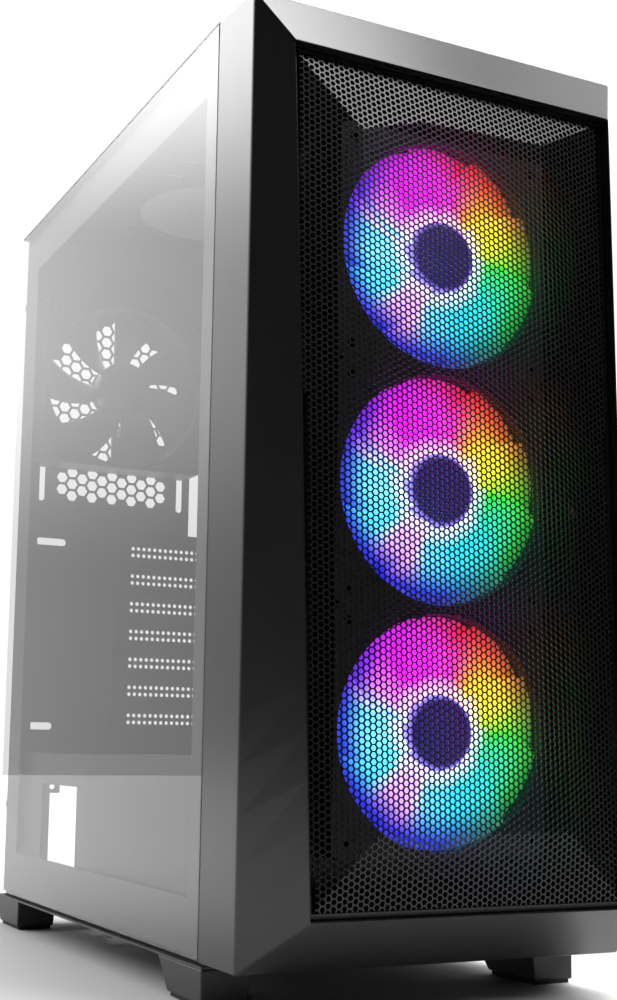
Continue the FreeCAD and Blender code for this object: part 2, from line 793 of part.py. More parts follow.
# ---- fans ----------------------------------------------------------------
def fan_frame(x, y, z):
    """Square fan housing with a round bore, corner holes and four struts to the motor base."""
    half = fan_size / 2
    block = box(x - half, x + half, y, y + fan_depth, z - half, z + half)
    upright = [e for e in block.Edges if abs(e.tangentAt(0).y) > 0.9]
    block = block.makeFillet(fan_corner_r, upright)
    block = block.cut([rod(fan_bore_r, (x, y, z), fan_depth, (0, 1, 0))]
                      + [rod(fan_hole_r, (a, y, c), fan_depth, (0, 1, 0)) for a, c in fan_corners(x, z)])
    y_base = y + fan_depth - strut_recess - motor_base_thick
    base = rod(motor_base_r, (x, y_base, z), motor_base_thick, (0, 1, 0))
    reach = fan_bore_r + strut_root
    bars = [
        box(x - strut_width / 2, x + strut_width / 2, y_base, y_base + motor_base_thick, z - reach, z + reach),
        box(x - reach, x + reach, y_base, y_base + motor_base_thick, z - strut_width / 2, z + strut_width / 2),
    ]
    return joined([block, base] + bars)


def fan_bearing(x, y, z):
    """Sleeve that stands on the motor base and carries the rotor's shaft."""
    y_base = y + fan_depth - strut_recess - motor_base_thick
    start = (x, y_base - sleeve_length, z)
    sleeve = rod(sleeve_r, start, sleeve_length, (0, 1, 0))
    return sleeve.cut(rod(shaft_r + run_gap, start, sleeve_length, (0, 1, 0)))


def blade(turn):
    """One swept fan blade between the hub and the tip, pitched more at its root."""

    def section(r, chord, pitch, lead):
        c = chord / 2
        a = math.radians(pitch)
        along = V(math.cos(a), math.sin(a), 0)
        across = V(-math.sin(a), math.cos(a), 0) * (blade_thick / 2)
        middle = V(lead, blade_middle, r)
        pts = [middle - along * c - across, middle + along * c - across,
               middle + along * c + across, middle - along * c + across]
        return Part.makePolygon(pts + pts[:1])

    root = section(hub_r - hub_wall / 2, *blade_root)
    middle = section((hub_r + blade_tip_r) / 2, *blade_waist)
    tip = section(blade_tip_r - blade_tip_gap, *blade_tip)
    shape = Part.makeLoft([root, middle, tip], True, False)
    shape.rotate(V(0, 0, 0), V(0, 1, 0), turn)
    return shape


def fan_rotor(x, y, z, blades):
    """Hub cup with its shaft and blades, in one moulding."""
    cup = rod(hub_r, (0, hub_front, 0), hub_depth, (0, 1, 0))
    cup = cup.cut(rod(hub_r - hub_wall, (0, hub_front + hub_wall, 0), hub_depth, (0, 1, 0)))
    base_y = fan_depth - strut_recess - motor_base_thick
    shaft = rod(shaft_r, (0, hub_front, 0), base_y - snug_gap - hub_front, (0, 1, 0))
    vanes = [blade(360.0 / blades * k) for k in range(blades)]
    rotor = cup.fuse(vanes + [shaft])
    rotor.translate(V(x, y, z))
    return rotor


def fan_screws(places, y):
    """Self-tapping screws: head behind the sheet, shank forward into the fan's corner."""
    screws = []
    for x, z in places:
        head = rod(screw_head_r, (x, y, z), screw_head, (0, 1, 0))
        shank = rod(screw_r, (x, y, z), screw_reach, (0, -1, 0))
        screws.append(joined([head, shank]))
    return group(screws)


# ---- side panels ---------------------------------------------------------
window_front = 24.2
window_rear = 28.4
window_low = 27.4
window_high = 28.3
flange_reach = 6.0
flute_count = 16
flute_r = 0.7
flute_out = 0.35
thumb_chamfer = 0.7
drive_half_long = 4.0
drive_half_wide = 0.6
drive_deep = 1.2
panel_low_gap = 1.0
panel_high_gap = 0.2
panel_low = z_body + panel_low_gap
panel_high = z_top - sheet - panel_high_gap


def left_glass():
    """Tempered glass pane, flush with the side of the case."""
    x0 = -half_w
    return box(x0, x0 + glass_thick, y_seam + bar_gap, y_rear, panel_low, panel_high)


def rear_flange(side, x_out, y):
    """Strip behind the chassis lip that takes the two thumbscrews."""
    a, b = sorted((side * (thumb_x - flange_reach), side * x_out))
    holes = [circle(side * thumb_x, y, z_body + h, thumb_shank_r + run_gap * 2, (0, 1, 0))
             for h in thumb_heights]
    return plate(rect_xz(a, b, panel_low, panel_high, y), holes, (0, sheet, 0))


def left_panel_frame():
    """Steel frame bonded behind the glass, open at the window, with a flange at the rear."""
    x0 = -half_w + glass_thick
    window = rect_yz(y_seam + window_front, y_rear - window_rear,
                     panel_low + window_low, panel_high - window_high, x0)
    pane = plate(rect_yz(y_seam + bar_gap, y_rear, panel_low, panel_high, x0), [window], (frame_strip, 0, 0))
    return joined([pane, rear_flange(-1, half_w - glass_thick, y_rear - sheet)])


def right_side_panel():
    """Painted steel side with folded edges."""
    x1 = half_w
    inner = frame_x + slide_gap
    skin = box(x1 - sheet, x1, y_seam + bar_gap, y_rear, panel_low, panel_high)
    folds = [
        box(inner, x1, y_seam + bar_gap, y_rear, panel_high - sheet, panel_high),
        box(inner, x1, y_seam + bar_gap, y_rear, panel_low, panel_low + sheet),
        box(inner, x1, y_seam + bar_gap, y_seam + bar_gap + sheet, panel_low, panel_high),
        rear_flange(1, half_w, y_rear - sheet),
    ]
    return joined([skin] + folds)


def thumbscrew(side, height):
    """Knurled thumbscrew at a side panel's rear edge."""
    at = (side * thumb_x, y_rear, z_body + height)
    head = rod(thumb_head_r, at, thumb_head, (0, 1, 0))
    head = head.makeChamfer(thumb_chamfer, [e for e in head.Edges if len(e.Vertexes) == 1])
    flutes = []
    for k in range(flute_count):
        a = 2 * math.pi * k / flute_count
        x = at[0] + (thumb_head_r + flute_out) * math.cos(a)
        z = at[2] + (thumb_head_r + flute_out) * math.sin(a)
        flutes.append(rod(flute_r, (x, at[1], z), thumb_head, (0, 1, 0)))
    y1 = y_rear + thumb_head
    drive = box(at[0] - drive_half_long, at[0] + drive_half_long, y1 - drive_deep, y1,
                at[2] - drive_half_wide, at[2] + drive_half_wide)
    shank = rod(thumb_shank_r, at, thumb_shank, (0, -1, 0))
    return joined([head.cut(flutes + [drive]), shank])


# ---- top filter, control strip and feet ----------------------------------
filter_y0 = y_seam + filter_front_gap
filter_y1 = y_rear - filter_rear_gap
net_thick = 0.4
psu_filter_edge = 8.0
psu_filter_rear_edge = 18.0
psu_filter_bar = 3.0
psu_filter_slats = 7
pull_half = 20.0
pull_thick = 4.0
pull_drop = 5.0


def top_filter_frame():
    """Magnetic edge strip of the top dust filter, with one cross bar."""
    half = filter_width / 2
    inset = filter_border
    middle = (filter_y0 + filter_y1) / 2
    holes = [
        rect_xy(-half + inset, half - inset, filter_y0 + inset, middle - inset / 2, z_top),
        rect_xy(-half + inset, half - inset, middle + inset / 2, filter_y1 - inset, z_top),
    ]
    return plate(rect_xy(-half, half, filter_y0, filter_y1, z_top), holes, (0, 0, filter_thick))


def top_filter_mesh():
    """Fine net stretched across the filter's frame."""
    half = filter_width / 2 - filter_border
    middle = (filter_y0 + filter_y1) / 2
    z0 = z_top + filter_thick / 2
    z1 = z0 + net_thick
    gap = filter_border
    return group([
        box(-half, half, filter_y0 + gap, middle - gap / 2, z0, z1),
        box(-half, half, middle + gap / 2, filter_y1 - gap, z0, z1),
    ])


def psu_filter():
    """Slide-out dust filter under the power supply: a frame, slats and a pull tab."""
    half = psu_filter_width / 2
    y0 = y_rear - psu_filter_length
    y1 = y_rear - 2 * sheet
    z1 = z_under - loose_gap / 2
    z0 = z1 - psu_filter_thick
    holes = []
    inner0 = y0 + psu_filter_edge
    inner1 = y1 - psu_filter_rear_edge
    pitch = (inner1 - inner0) / psu_filter_slats
    middle = psu_filter_bar / 2
    for k in range(psu_filter_slats):
        a = inner0 + k * pitch
        b = a + pitch - psu_filter_bar
        holes.append(rect_xy(-half + psu_filter_edge, -middle, a, b, z0))
        holes.append(rect_xy(middle, half - psu_filter_edge, a, b, z0))
    body = plate(rect_xy(-half, half, y0, y1, z0), holes, (0, 0, psu_filter_thick))
    tab = box(-pull_half, pull_half, y1 - pull_thick, y1, z0 - pull_drop, z0)
    return joined([body, tab])


port_low = z_top - 12.0
circuit_thick = 1.6
board_low = port_low - circuit_thick
skirt = 1.5
switch_half = 3.0
switch_high = 3.5
power_x = -40.0
reset_x = -22.0
usb_x = (0.0, 18.0)
jack_x = (36.0, 48.0)
strip_y = (io_y0 + io_y1) / 2
usb_wide = 13.2
usb_deep = 5.8
jack_r = 3.2
jack_bore_r = 1.8
port_floor = 1.5
shell_wall = 0.5
tongue_half = 5.5
tongue_low = -0.2
tongue_high = 1.6
tongue_drop = 1.0
cap_high = 3.0
button_chamfer = 0.4
shoulder_out = 1.0
shoulder_drop = 4.2
stem_r = 1.5
stem_gap = 0.2
power_proud = 1.2
reset_proud = 0.9
pad_inset = 1.5
rear_foot_reach = 5.0


def io_housing():
    """Control strip let into the top skin, with a skirt below that holds its board."""
    half = io_plate_width / 2
    z0 = z_top - sheet
    holes = [circle(power_x, strip_y, z0, power_r + loose_gap, (0, 0, 1)),
             circle(reset_x, strip_y, z0, reset_r + loose_gap, (0, 0, 1))]
    for x in usb_x:
        holes.append(rect_xy(x - usb_wide / 2 - snug_gap, x + usb_wide / 2 + snug_gap,
                             strip_y - usb_deep / 2 - snug_gap, strip_y + usb_deep / 2 + snug_gap, z0))
    holes += [circle(x, strip_y, z0, jack_r + snug_gap, (0, 0, 1)) for x in jack_x]
    top = plate(rect_xy(-half, half, io_y0, io_y1, z0), holes, (0, 0, sheet + io_plate_proud))
    walls = [
        box(-half, half, io_y0, io_y0 + skirt, board_low, z0),
        box(-half, half, io_y1 - skirt, io_y1, board_low, z0),
        box(-half, -half + skirt, io_y0, io_y1, board_low, z0),
        box(half - skirt, half, io_y0, io_y1, board_low, z0),
    ]
    return joined([top] + walls)


def io_circuit_board():
    """Circuit board under the control strip, with the two switches on it."""
    inset = skirt + snug_gap
    half = io_plate_width / 2 - inset
    board = box(-half, half, io_y0 + inset, io_y1 - inset, board_low, port_low)
    switches = [box(x - switch_half, x + switch_half, strip_y - switch_half, strip_y + switch_half,
                    port_low, port_low + switch_high) for x in (power_x, reset_x)]
    return joined([board] + switches)


def push_button(x, r, proud):
    """Round button with a shoulder inside the strip and a stem down to its switch."""
    top = z_top + proud
    cap = rod(r, (x, strip_y, top - cap_high), cap_high, (0, 0, 1))
    rim = [e for e in cap.Edges if abs(e.CenterOfMass.z - top) < 1e-6 and len(e.Vertexes) == 1]
    cap = cap.makeChamfer(button_chamfer, rim)
    shoulder_z = top - shoulder_drop
    shoulder = rod(r + shoulder_out, (x, strip_y, shoulder_z), z_top - sheet - shoulder_z, (0, 0, 1))
    stem_z = port_low + switch_high + button_travel + stem_gap
    stem = rod(stem_r, (x, strip_y, stem_z), top - cap_high - stem_z, (0, 0, 1))
    return joined([cap, shoulder, stem])


def usb_ports():
    """Two upright sockets: a metal shell with a tongue inside."""
    sockets = []
    for x in usb_x:
        shell = box(x - usb_wide / 2, x + usb_wide / 2, strip_y - usb_deep / 2, strip_y + usb_deep / 2,
                    port_low, z_top + io_plate_proud)
        wide = usb_wide / 2 - shell_wall
        deep = usb_deep / 2 - shell_wall
        hollow = box(x - wide, x + wide, strip_y - deep, strip_y + deep,
                     port_low + port_floor, z_top + io_plate_proud)
        tongue = box(x - tongue_half, x + tongue_half, strip_y + tongue_low, strip_y + tongue_high,
                     port_low + port_floor, z_top - tongue_drop)
        sockets.append(joined([shell.cut(hollow), tongue]))
    return group(sockets)


def audio_jacks():
    """Two round sockets for plugs of 3.5 mm."""
    jacks = []
    for x in jack_x:
        body = rod(jack_r, (x, strip_y, port_low), z_top + io_plate_proud - port_low, (0, 0, 1))
        bore_z = port_low + port_floor
        jacks.append(body.cut(rod(jack_bore_r, (x, strip_y, bore_z), z_top + 1 - bore_z, (0, 0, 1))))
    return group(jacks)


def foot(side, y0):
    """Tapered moulded foot: upright at its outer side and front, raked at the back and the inside."""
    x_out = side * half_w
    x_in = side * (half_w - foot_width)
    x_low = side * (half_w - foot_width + foot_inset)
    z0 = pad_thick
    z1 = z_under
    y1 = y0 + foot_length
    top = [(x_out, y0, z1), (x_in, y0, z1), (x_in, y1, z1), (x_out, y1, z1)]
    low = [(x_out, y0, z0), (x_low, y0, z0), (x_low, y1 - foot_taper, z0), (x_out, y1 - foot_taper, z0)]
    faces = [Part.Face(polygon(top)), Part.Face(polygon(low))]
    for k in range(4):
        m = (k + 1) % 4
        faces.append(patch(top[k], top[m], low[m], low[k]))
    return solid_from(faces)


feet = {
    "foot_front_left": (-1, y_edge + foot_front),
    "foot_front_right": (1, y_edge + foot_front),
    "foot_rear_left": (-1, y_rear - foot_length + rear_foot_reach),
    "foot_rear_right": (1, y_rear - foot_length + rear_foot_reach),
}


def foot_pads():
    """Rubber soles of the four feet."""
    pads = []
    for side, y0 in feet.values():
        a, b = sorted((side * (half_w - pad_inset), side * (half_w - foot_width + foot_inset + pad_inset)))
        pads.append(box(a, b, y0 + pad_inset, y0 + foot_length - foot_taper - pad_inset, 0, pad_thick))
    return group(pads)


def main():
    os.makedirs("parts", exist_ok=True)
    save("front_bezel", front_bezel())
    save("bezel_clips", bezel_clips())
    save("front_mesh", front_mesh())
    save("front_fan_wall", front_fan_wall())
    save("bottom_panel", bottom_panel())
    save("top_panel", top_panel())
    save("rear_panel", rear_panel())
    save("motherboard_tray", motherboard_tray())
    save("motherboard_standoffs", motherboard_standoffs())
    save("cable_grommets", cable_grommets())
    save("psu_shroud", psu_shroud())
    save("psu_pads", psu_pads())
    save("drive_cage", drive_cage())
    for k, z in enumerate(slot_heights):
        save("expansion_cover_%d" % (k + 1), expansion_cover(z))
    save("expansion_screws", expansion_screws())
    save("expansion_screw_cover", expansion_screw_cover())
    fans = [("top", 0.0, fan_y, front_fan_z[0], front_blades),
            ("middle", 0.0, fan_y, front_fan_z[1], front_blades),
            ("bottom", 0.0, fan_y, front_fan_z[2], front_blades),
            ("rear", rear_fan_x, y_wall - fan_depth, rear_fan_z, rear_blades)]
    for name, x, y, z, blades in fans:
        save("fan_%s_frame" % name, fan_frame(x, y, z))
        save("fan_%s_bearing" % name, fan_bearing(x, y, z))
        save("fan_%s_rotor" % name, fan_rotor(x, y, z, blades))
    front_places = [p for z in front_fan_z for p in fan_corners(0.0, z)]
    save("fan_screws_front", fan_screws(front_places, wall_y))
    save("fan_screws_rear", fan_screws(fan_corners(rear_fan_x, rear_fan_z), y_wall + sheet))
    save("left_glass", left_glass())
    save("left_panel_frame", left_panel_frame())
    save("right_side_panel", right_side_panel())
    for side, word in ((-1, "left"), (1, "right")):
        for height, level in zip(thumb_heights, ("lower", "upper")):
            save("thumbscrew_%s_%s" % (word, level), thumbscrew(side, height))
    save("top_filter_frame", top_filter_frame())
    save("top_filter_mesh", top_filter_mesh())
    save("psu_filter", psu_filter())
    save("io_housing", io_housing())
    save("io_circuit_board", io_circuit_board())
    save("power_button", push_button(power_x, power_r, power_proud))
    save("reset_button", push_button(reset_x, reset_r, reset_proud))
    save("usb_ports", usb_ports())
    save("audio_jacks", audio_jacks())
    for name, (side, y0) in feet.items():
        save(name, foot(side, y0))
    save("foot_pads", foot_pads())


main()
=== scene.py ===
# %% [markdown]
# A computer tower seen from its front left corner: a black moulded picture frame round a faceted mesh,
# three lit fans glowing through the mesh, and a smoked glass side that shows the back wall.
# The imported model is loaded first, because every place below is read from it.

# %% Load the model
import json
import math
import bmesh
import bpy
import numpy as np
from mathutils import Matrix, Vector


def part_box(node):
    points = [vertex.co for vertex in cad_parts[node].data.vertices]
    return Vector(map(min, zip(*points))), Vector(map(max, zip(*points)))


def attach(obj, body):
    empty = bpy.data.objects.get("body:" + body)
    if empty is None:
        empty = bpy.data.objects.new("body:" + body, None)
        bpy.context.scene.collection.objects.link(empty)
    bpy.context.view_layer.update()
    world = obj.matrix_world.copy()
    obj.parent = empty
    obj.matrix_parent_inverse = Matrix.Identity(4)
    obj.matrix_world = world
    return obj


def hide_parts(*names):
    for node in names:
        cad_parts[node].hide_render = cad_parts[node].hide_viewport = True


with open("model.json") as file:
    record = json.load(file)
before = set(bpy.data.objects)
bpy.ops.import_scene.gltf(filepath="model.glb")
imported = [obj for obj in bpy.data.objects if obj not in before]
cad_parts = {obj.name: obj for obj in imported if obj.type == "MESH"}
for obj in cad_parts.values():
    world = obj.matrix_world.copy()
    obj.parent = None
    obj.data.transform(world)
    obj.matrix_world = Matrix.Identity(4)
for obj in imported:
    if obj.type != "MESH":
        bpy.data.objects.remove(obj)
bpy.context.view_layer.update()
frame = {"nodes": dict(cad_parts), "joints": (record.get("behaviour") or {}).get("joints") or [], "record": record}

record = frame["record"]
MM = 0.001

# %% [markdown]
# The camera stands low, a little to the left of the case's front, and looks slightly up. Its place is
# given from the front of the bezel and the floor, and its aim as a heading, a climb and a small roll.
# A tracking constraint could aim it at the case's middle, but would leave it no roll. A small shift of
# the lens frames the case without tilting the uprights any further.

# %% Camera
bezel_low, bezel_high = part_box("front_bezel")
FLOOR = 0.0
STAND_LEFT, STAND_BEFORE, STAND_HIGH = 0.3754, 0.5746, 0.1221     # metres
SENSOR, LENS = 36.0, 52.47                                        # millimetres
SHIFT_RIGHT, SHIFT_UP = -0.0146, 0.0734                           # shares of the frame's longer side
camera_place = Vector((-STAND_LEFT, bezel_low.y - STAND_BEFORE, FLOOR + STAND_HIGH))
heading, climb, roll = (math.radians(a) for a in (26.897, 6.855, 0.8105))
forward = Vector((math.sin(heading) * math.cos(climb), math.cos(heading) * math.cos(climb),
                  math.sin(climb)))
level = Vector((math.cos(heading), -math.sin(heading), 0.0))
upward = level.cross(forward)
right_axis = level * math.cos(roll) + upward * math.sin(roll)
up_axis = upward * math.cos(roll) - level * math.sin(roll)
camera_data = bpy.data.cameras.new("camera")
camera_data.sensor_width = SENSOR
camera_data.lens = LENS
camera_data.shift_x = SHIFT_RIGHT
camera_data.shift_y = SHIFT_UP
camera = bpy.data.objects.new("camera", camera_data)
aim = Matrix((right_axis, up_axis, -forward)).transposed()
camera.matrix_world = Matrix.Translation(camera_place) @ aim.to_4x4()
bpy.context.scene.collection.objects.link(camera)
bpy.context.scene.camera = camera
print("camera at", tuple(round(c, 3) for c in camera_place))

# %% [markdown]
# Nodes could be placed and linked one by one, but a finish reads best as plain sums. One small class
# wraps a socket, so that `1 - mask * 0.3` adds the Math nodes by itself, and one method adds any other
# node from its type, settings and inputs.

# %% Shader expressions
class Signal:
    """A socket in a finish. Adding, multiplying and so on adds Math nodes and gives another Signal."""

    def __init__(self, finish, socket):
        self.finish = finish
        self.socket = socket

    def math(self, operation, *values):
        """One Math node, with the values given as its inputs in order."""
        sockets = {i: v for i, v in enumerate(values)}
        return self.finish.add("ShaderNodeMath", {"operation": operation}, sockets)

    def __add__(self, other):
        return self.math("ADD", self, other)

    def __radd__(self, other):
        return self.math("ADD", other, self)

    def __sub__(self, other):
        return self.math("SUBTRACT", self, other)

    def __rsub__(self, other):
        return self.math("SUBTRACT", other, self)

    def __mul__(self, other):
        return self.math("MULTIPLY", self, other)

    def __rmul__(self, other):
        return self.math("MULTIPLY", other, self)

    def __truediv__(self, other):
        return self.math("DIVIDE", self, other)

    def step(self, start, end):
        """Rises smoothly from 0 at start to 1 at end."""
        return self.finish.add("ShaderNodeMapRange", {"interpolation_type": "SMOOTHSTEP"},
                               {"Value": self, "From Min": start, "From Max": end})


class Finish:
    """A material being put together, or any other node tree."""

    def __init__(self, name, tree=None):
        if tree is None:
            self.material = bpy.data.materials.new(name)
            self.material.use_nodes = True
            tree = self.material.node_tree
        self.tree = tree
        tree.nodes.clear()

    def add(self, kind, settings=None, sockets=None, out=0):
        """Adds one node: settings first, then values or links of its sockets. Gives the output asked for."""
        node = self.tree.nodes.new(kind)
        for key, value in (settings or {}).items():
            if key == "stops":
                self.set_stops(node.color_ramp, value)
            else:
                setattr(node, key, value)
        for key, value in (sockets or {}).items():
            if isinstance(value, Signal):
                self.tree.links.new(value.socket, node.inputs[key])
            else:
                node.inputs[key].default_value = value
        return Signal(self, node.outputs[out])

    def set_stops(self, ramp, stops):
        """Colour stops of a ramp, as (place, colour) pairs in order."""
        while len(ramp.elements) < len(stops):
            ramp.elements.new(0.5)
        for element, (place, colour) in zip(ramp.elements, stops):
            element.position = place
            element.color = (*colour, 1.0)

    def place(self):
        """Object coordinates, which are the model's own, in metres."""
        return self.add("ShaderNodeTexCoord", out="Object")

    def around(self, centre):
        """Distances across and up from a centre, and the root of the sum of their squares, in metres."""
        moved = self.add("ShaderNodeVectorMath", {"operation": "SUBTRACT"},
                         {0: self.place(), 1: tuple(centre)})
        parts = self.add("ShaderNodeSeparateXYZ", None, {"Vector": moved}).socket.node
        across, up = Signal(self, parts.outputs[0]), Signal(self, parts.outputs[2])
        squares = across * across + up * up
        return across, up, squares.math("SQRT", squares)

    def noise(self, scale, detail=2.0):
        """Soft noise from about 0 to 1; scale is in waves a metre."""
        sockets = {"Vector": self.place(), "Scale": scale, "Detail": detail, "Roughness": 0.5}
        return self.add("ShaderNodeTexNoise", None, sockets)

    def bump(self, height, depth):
        """A normal that follows a height signal; depth is in metres."""
        return self.add("ShaderNodeBump", None, {"Height": height, "Strength": 1.0, "Distance": depth})

    def tint(self, factor, first, second):
        """A colour between two, by a factor signal."""
        return self.add("ShaderNodeMix", {"data_type": "RGBA"}, {0: factor, 6: first, 7: second}, out=2)

    def surface(self, shader):
        """Ends the tree in its output and gives the finished material."""
        node = self.tree.nodes.new("ShaderNodeOutputMaterial")
        self.tree.links.new(shader.socket, node.inputs["Surface"])
        return self.material

    def principled(self, **sockets):
        """One Principled shader; socket names are written with underscores for spaces."""
        named = {key.replace("_", " "): value for key, value in sockets.items()}
        return self.add("ShaderNodeBsdfPrincipled", None, named)


def grey(value):
    """A neutral colour."""
    return (value, value, value, 1.0)


print("shader helpers ready")

# %% [markdown]
# The case stands in a white room: a bright wall behind it, and a dark room in front, which keeps the
# black front black. Two softboxes are mirrored by the top bevel and a third by the upper facets of the
# mesh. Lamps could do the same, but patches in the sky put each highlight by its direction alone.
# A height here is the z of a unit direction: 0 at the horizon and 1 overhead. What the camera sees of
# the world itself is plain white.

# %% World and lights
WALL_FOOT, WALL_MIDDLE, WALL_TOP = 0.75, 1.0, 4.2
DARK_ROOM = 0.01
OVERHEAD_LOSS = 0.8
BACKDROP = 1.05
world = bpy.data.worlds.new("studio")
world.use_nodes = True
bpy.context.scene.world = world
sky = Finish("studio", world.node_tree)
direction = sky.add("ShaderNodeTexCoord", out="Generated")
split = sky.add("ShaderNodeSeparateXYZ", None, {"Vector": direction}).socket.node
east, north, high = (Signal(sky, split.outputs[axis]) for axis in range(3))
wall = WALL_FOOT + WALL_MIDDLE * high.step(0.11, 0.27) + WALL_TOP * high.step(0.33, 0.47)
behind = DARK_ROOM + (1 - DARK_ROOM) * north.step(0.05, 0.60)


def softbox(centre, inner, outer, radiance):
    """Round patch of light in the sky: full inside one angle from its centre, none outside the other."""
    toward = sky.add("ShaderNodeVectorMath", {"operation": "DOT_PRODUCT"},
                     {0: direction, 1: Vector(centre).normalized()}, out=1)
    return toward.step(math.cos(math.radians(outer)), math.cos(math.radians(inner))) * radiance


above = high.step(0.55, 0.75)
bevel_lights = softbox((0.25, -0.13, 0.96), 9, 16, 13.0) + softbox((0.68, 0.04, 0.73), 9, 16, 2.4)
facet_light = softbox((0.38, -0.55, 0.74), 8, 16, 9.0)
lights = bevel_lights + facet_light
brightness = wall * behind * (1 - above * OVERHEAD_LOSS) + lights
seen = sky.add("ShaderNodeLightPath", out="Is Camera Ray")
strength = sky.add("ShaderNodeMix", {"data_type": "FLOAT"}, {0: seen, 2: brightness, 3: BACKDROP})
background = sky.add("ShaderNodeBackground", None, {"Color": grey(1.0), "Strength": strength})
world_out = world.node_tree.nodes.new("ShaderNodeOutputWorld")
world.node_tree.links.new(background.socket, world_out.inputs["Surface"])
bpy.context.scene.view_settings.view_transform = "Standard"
print("world ready")

# %% [markdown]
# The floor is a pale matt sheet that takes the case's soft shadow. It could run on all round, but a
# floor before the case would throw its light up at the black bezel, so it ends a little way in front.

# %% Floor
floor_finish = Finish("pale_floor")
speck = floor_finish.noise(35.0, 3.0)
floor_colour = floor_finish.tint(speck, grey(0.70), grey(0.73))
floor_material = floor_finish.surface(floor_finish.principled(Base_Color=floor_colour, Roughness=0.75))
FLOOR_LEFT, FLOOR_RIGHT, FLOOR_FRONT, FLOOR_BACK = -4.0, 4.0, bezel_low.y - 0.45, 5.0
floor_mesh = bpy.data.meshes.new("floor")
corners = [(FLOOR_LEFT, FLOOR_FRONT, FLOOR), (FLOOR_RIGHT, FLOOR_FRONT, FLOOR),
           (FLOOR_RIGHT, FLOOR_BACK, FLOOR), (FLOOR_LEFT, FLOOR_BACK, FLOOR)]
floor_mesh.from_pydata(corners, [], [(0, 1, 2, 3)])
floor = bpy.data.objects.new("floor", floor_mesh)
floor_mesh.materials.append(floor_material)
bpy.context.scene.collection.objects.link(floor)
print("floor ready")

# %% [markdown]
# Black plastic is never one flat black. The bezel, feet and buttons are a fine-grained moulding: a tiny
# grain breaks up the shine, and handling leaves faint patches that are slightly smoother. A wrapped
# picture could carry both, but noise in the model's own metres has no seams and one scale everywhere.

# %% Moulded plastic
GRAIN_DEPTH = 0.00002
GRAIN_SCALE = 2600.0


def moulding(name, colour, roughness):
    """Matt moulding: noise of about 0.4 mm for the grain, and slow patches in shine and shade."""
    f = Finish(name)
    patches = f.noise(14.0, 3.0)
    fine = f.noise(GRAIN_SCALE, 2.0)
    shade = f.tint(patches, grey(colour * 0.9), grey(colour * 1.12))
    rough = roughness + (patches - 0.5) * 0.10 + (fine - 0.5) * 0.06
    return f.surface(f.principled(Base_Color=shade, Roughness=rough, Normal=f.bump(fine, GRAIN_DEPTH),
                                  Specular_IOR_Level=0.5))


bezel_plastic = moulding("bezel_plastic", 0.010, 0.20)
foot_plastic = moulding("foot_plastic", 0.020, 0.45)
fan_plastic = moulding("fan_plastic", 0.012, 0.5)
button_plastic = moulding("button_plastic", 0.03, 0.35)
clip_plastic = moulding("clip_plastic", 0.25, 0.5)
print("mouldings ready")

# %% [markdown]
# The chassis is powder-coated steel. The coat flows into a soft orange peel about a millimetre across,
# so its highlights wobble. Modelling the peel would take millions of faces, so a bump tilts the light
# instead: noise in two sizes gives the peel and the even finer sparkle of the powder.

# %% Powder-coated steel
def powder_coat(name, colour, roughness, peel=0.00004):
    """Orange peel of about 1.2 mm under a fine grain, on a dark coat."""
    f = Finish(name)
    waves = f.noise(850.0, 2.0)
    grit = f.noise(4200.0, 1.0)
    cloud = f.noise(9.0, 2.0)
    shade = f.tint(cloud, grey(colour * 0.88), grey(colour * 1.15))
    rough = roughness + (cloud - 0.5) * 0.08 + (grit - 0.5) * 0.08
    height = waves * 0.8 + grit * 0.2
    return f.surface(f.principled(Base_Color=shade, Roughness=rough, Normal=f.bump(height, peel),
                                  Specular_IOR_Level=0.5))


case_coat = powder_coat("case_coat", 0.030, 0.42)
mesh_coat = powder_coat("mesh_coat", 0.008, 0.30, peel=0.00002)
cover_coat = powder_coat("cover_coat", 0.034, 0.40)
print("powder coats ready")

# %% [markdown]
# Small parts: black zinc screws with fine tool marks, brass pillars, rubber, a green circuit board
# with copper tracks, plated sockets and the net of the dust filter. The net's threads could be
# modelled, but would take hundreds of thousands of faces, so its holes are cut by alpha.

# %% Small finishes
def metal(name, colour, roughness):
    """Metal with fine marks: noise of about 0.3 mm and slow dull patches break up its shine."""
    f = Finish(name)
    marks = f.noise(3000.0, 1.0)
    dull = f.noise(220.0, 3.0)
    shade = f.tint(dull, (*[c * 0.8 for c in colour], 1.0), (*colour, 1.0))
    rough = roughness + (marks - 0.5) * 0.15 + (dull - 0.5) * 0.1
    return f.surface(f.principled(Base_Color=shade, Metallic=1.0, Roughness=rough,
                                  Normal=f.bump(marks, 0.00001)))


def rubber(name, colour):
    """Matt rubber with a dusty bloom."""
    f = Finish(name)
    bloom = f.noise(60.0, 4.0)
    grain = f.noise(1800.0, 2.0)
    shade = f.tint(bloom, grey(colour), grey(colour * 2.2))
    return f.surface(f.principled(Base_Color=shade, Roughness=0.75 + (bloom - 0.5) * 0.2,
                                  Normal=f.bump(grain, 0.00004)))


def board(name):
    """Green lacquer over copper tracks: the tracks are the bands of a stretched brick pattern."""
    f = Finish(name)
    tracks = f.add("ShaderNodeTexBrick", None, {
        "Vector": f.place(), "Scale": 420.0, "Mortar Size": 0.04, "Mortar": (0.10, 0.22, 0.07, 1),
        "Color1": (0.01, 0.10, 0.04, 1), "Color2": (0.01, 0.13, 0.05, 1)})
    return f.surface(f.principled(Base_Color=tracks, Roughness=0.3, Coat_Weight=0.4))


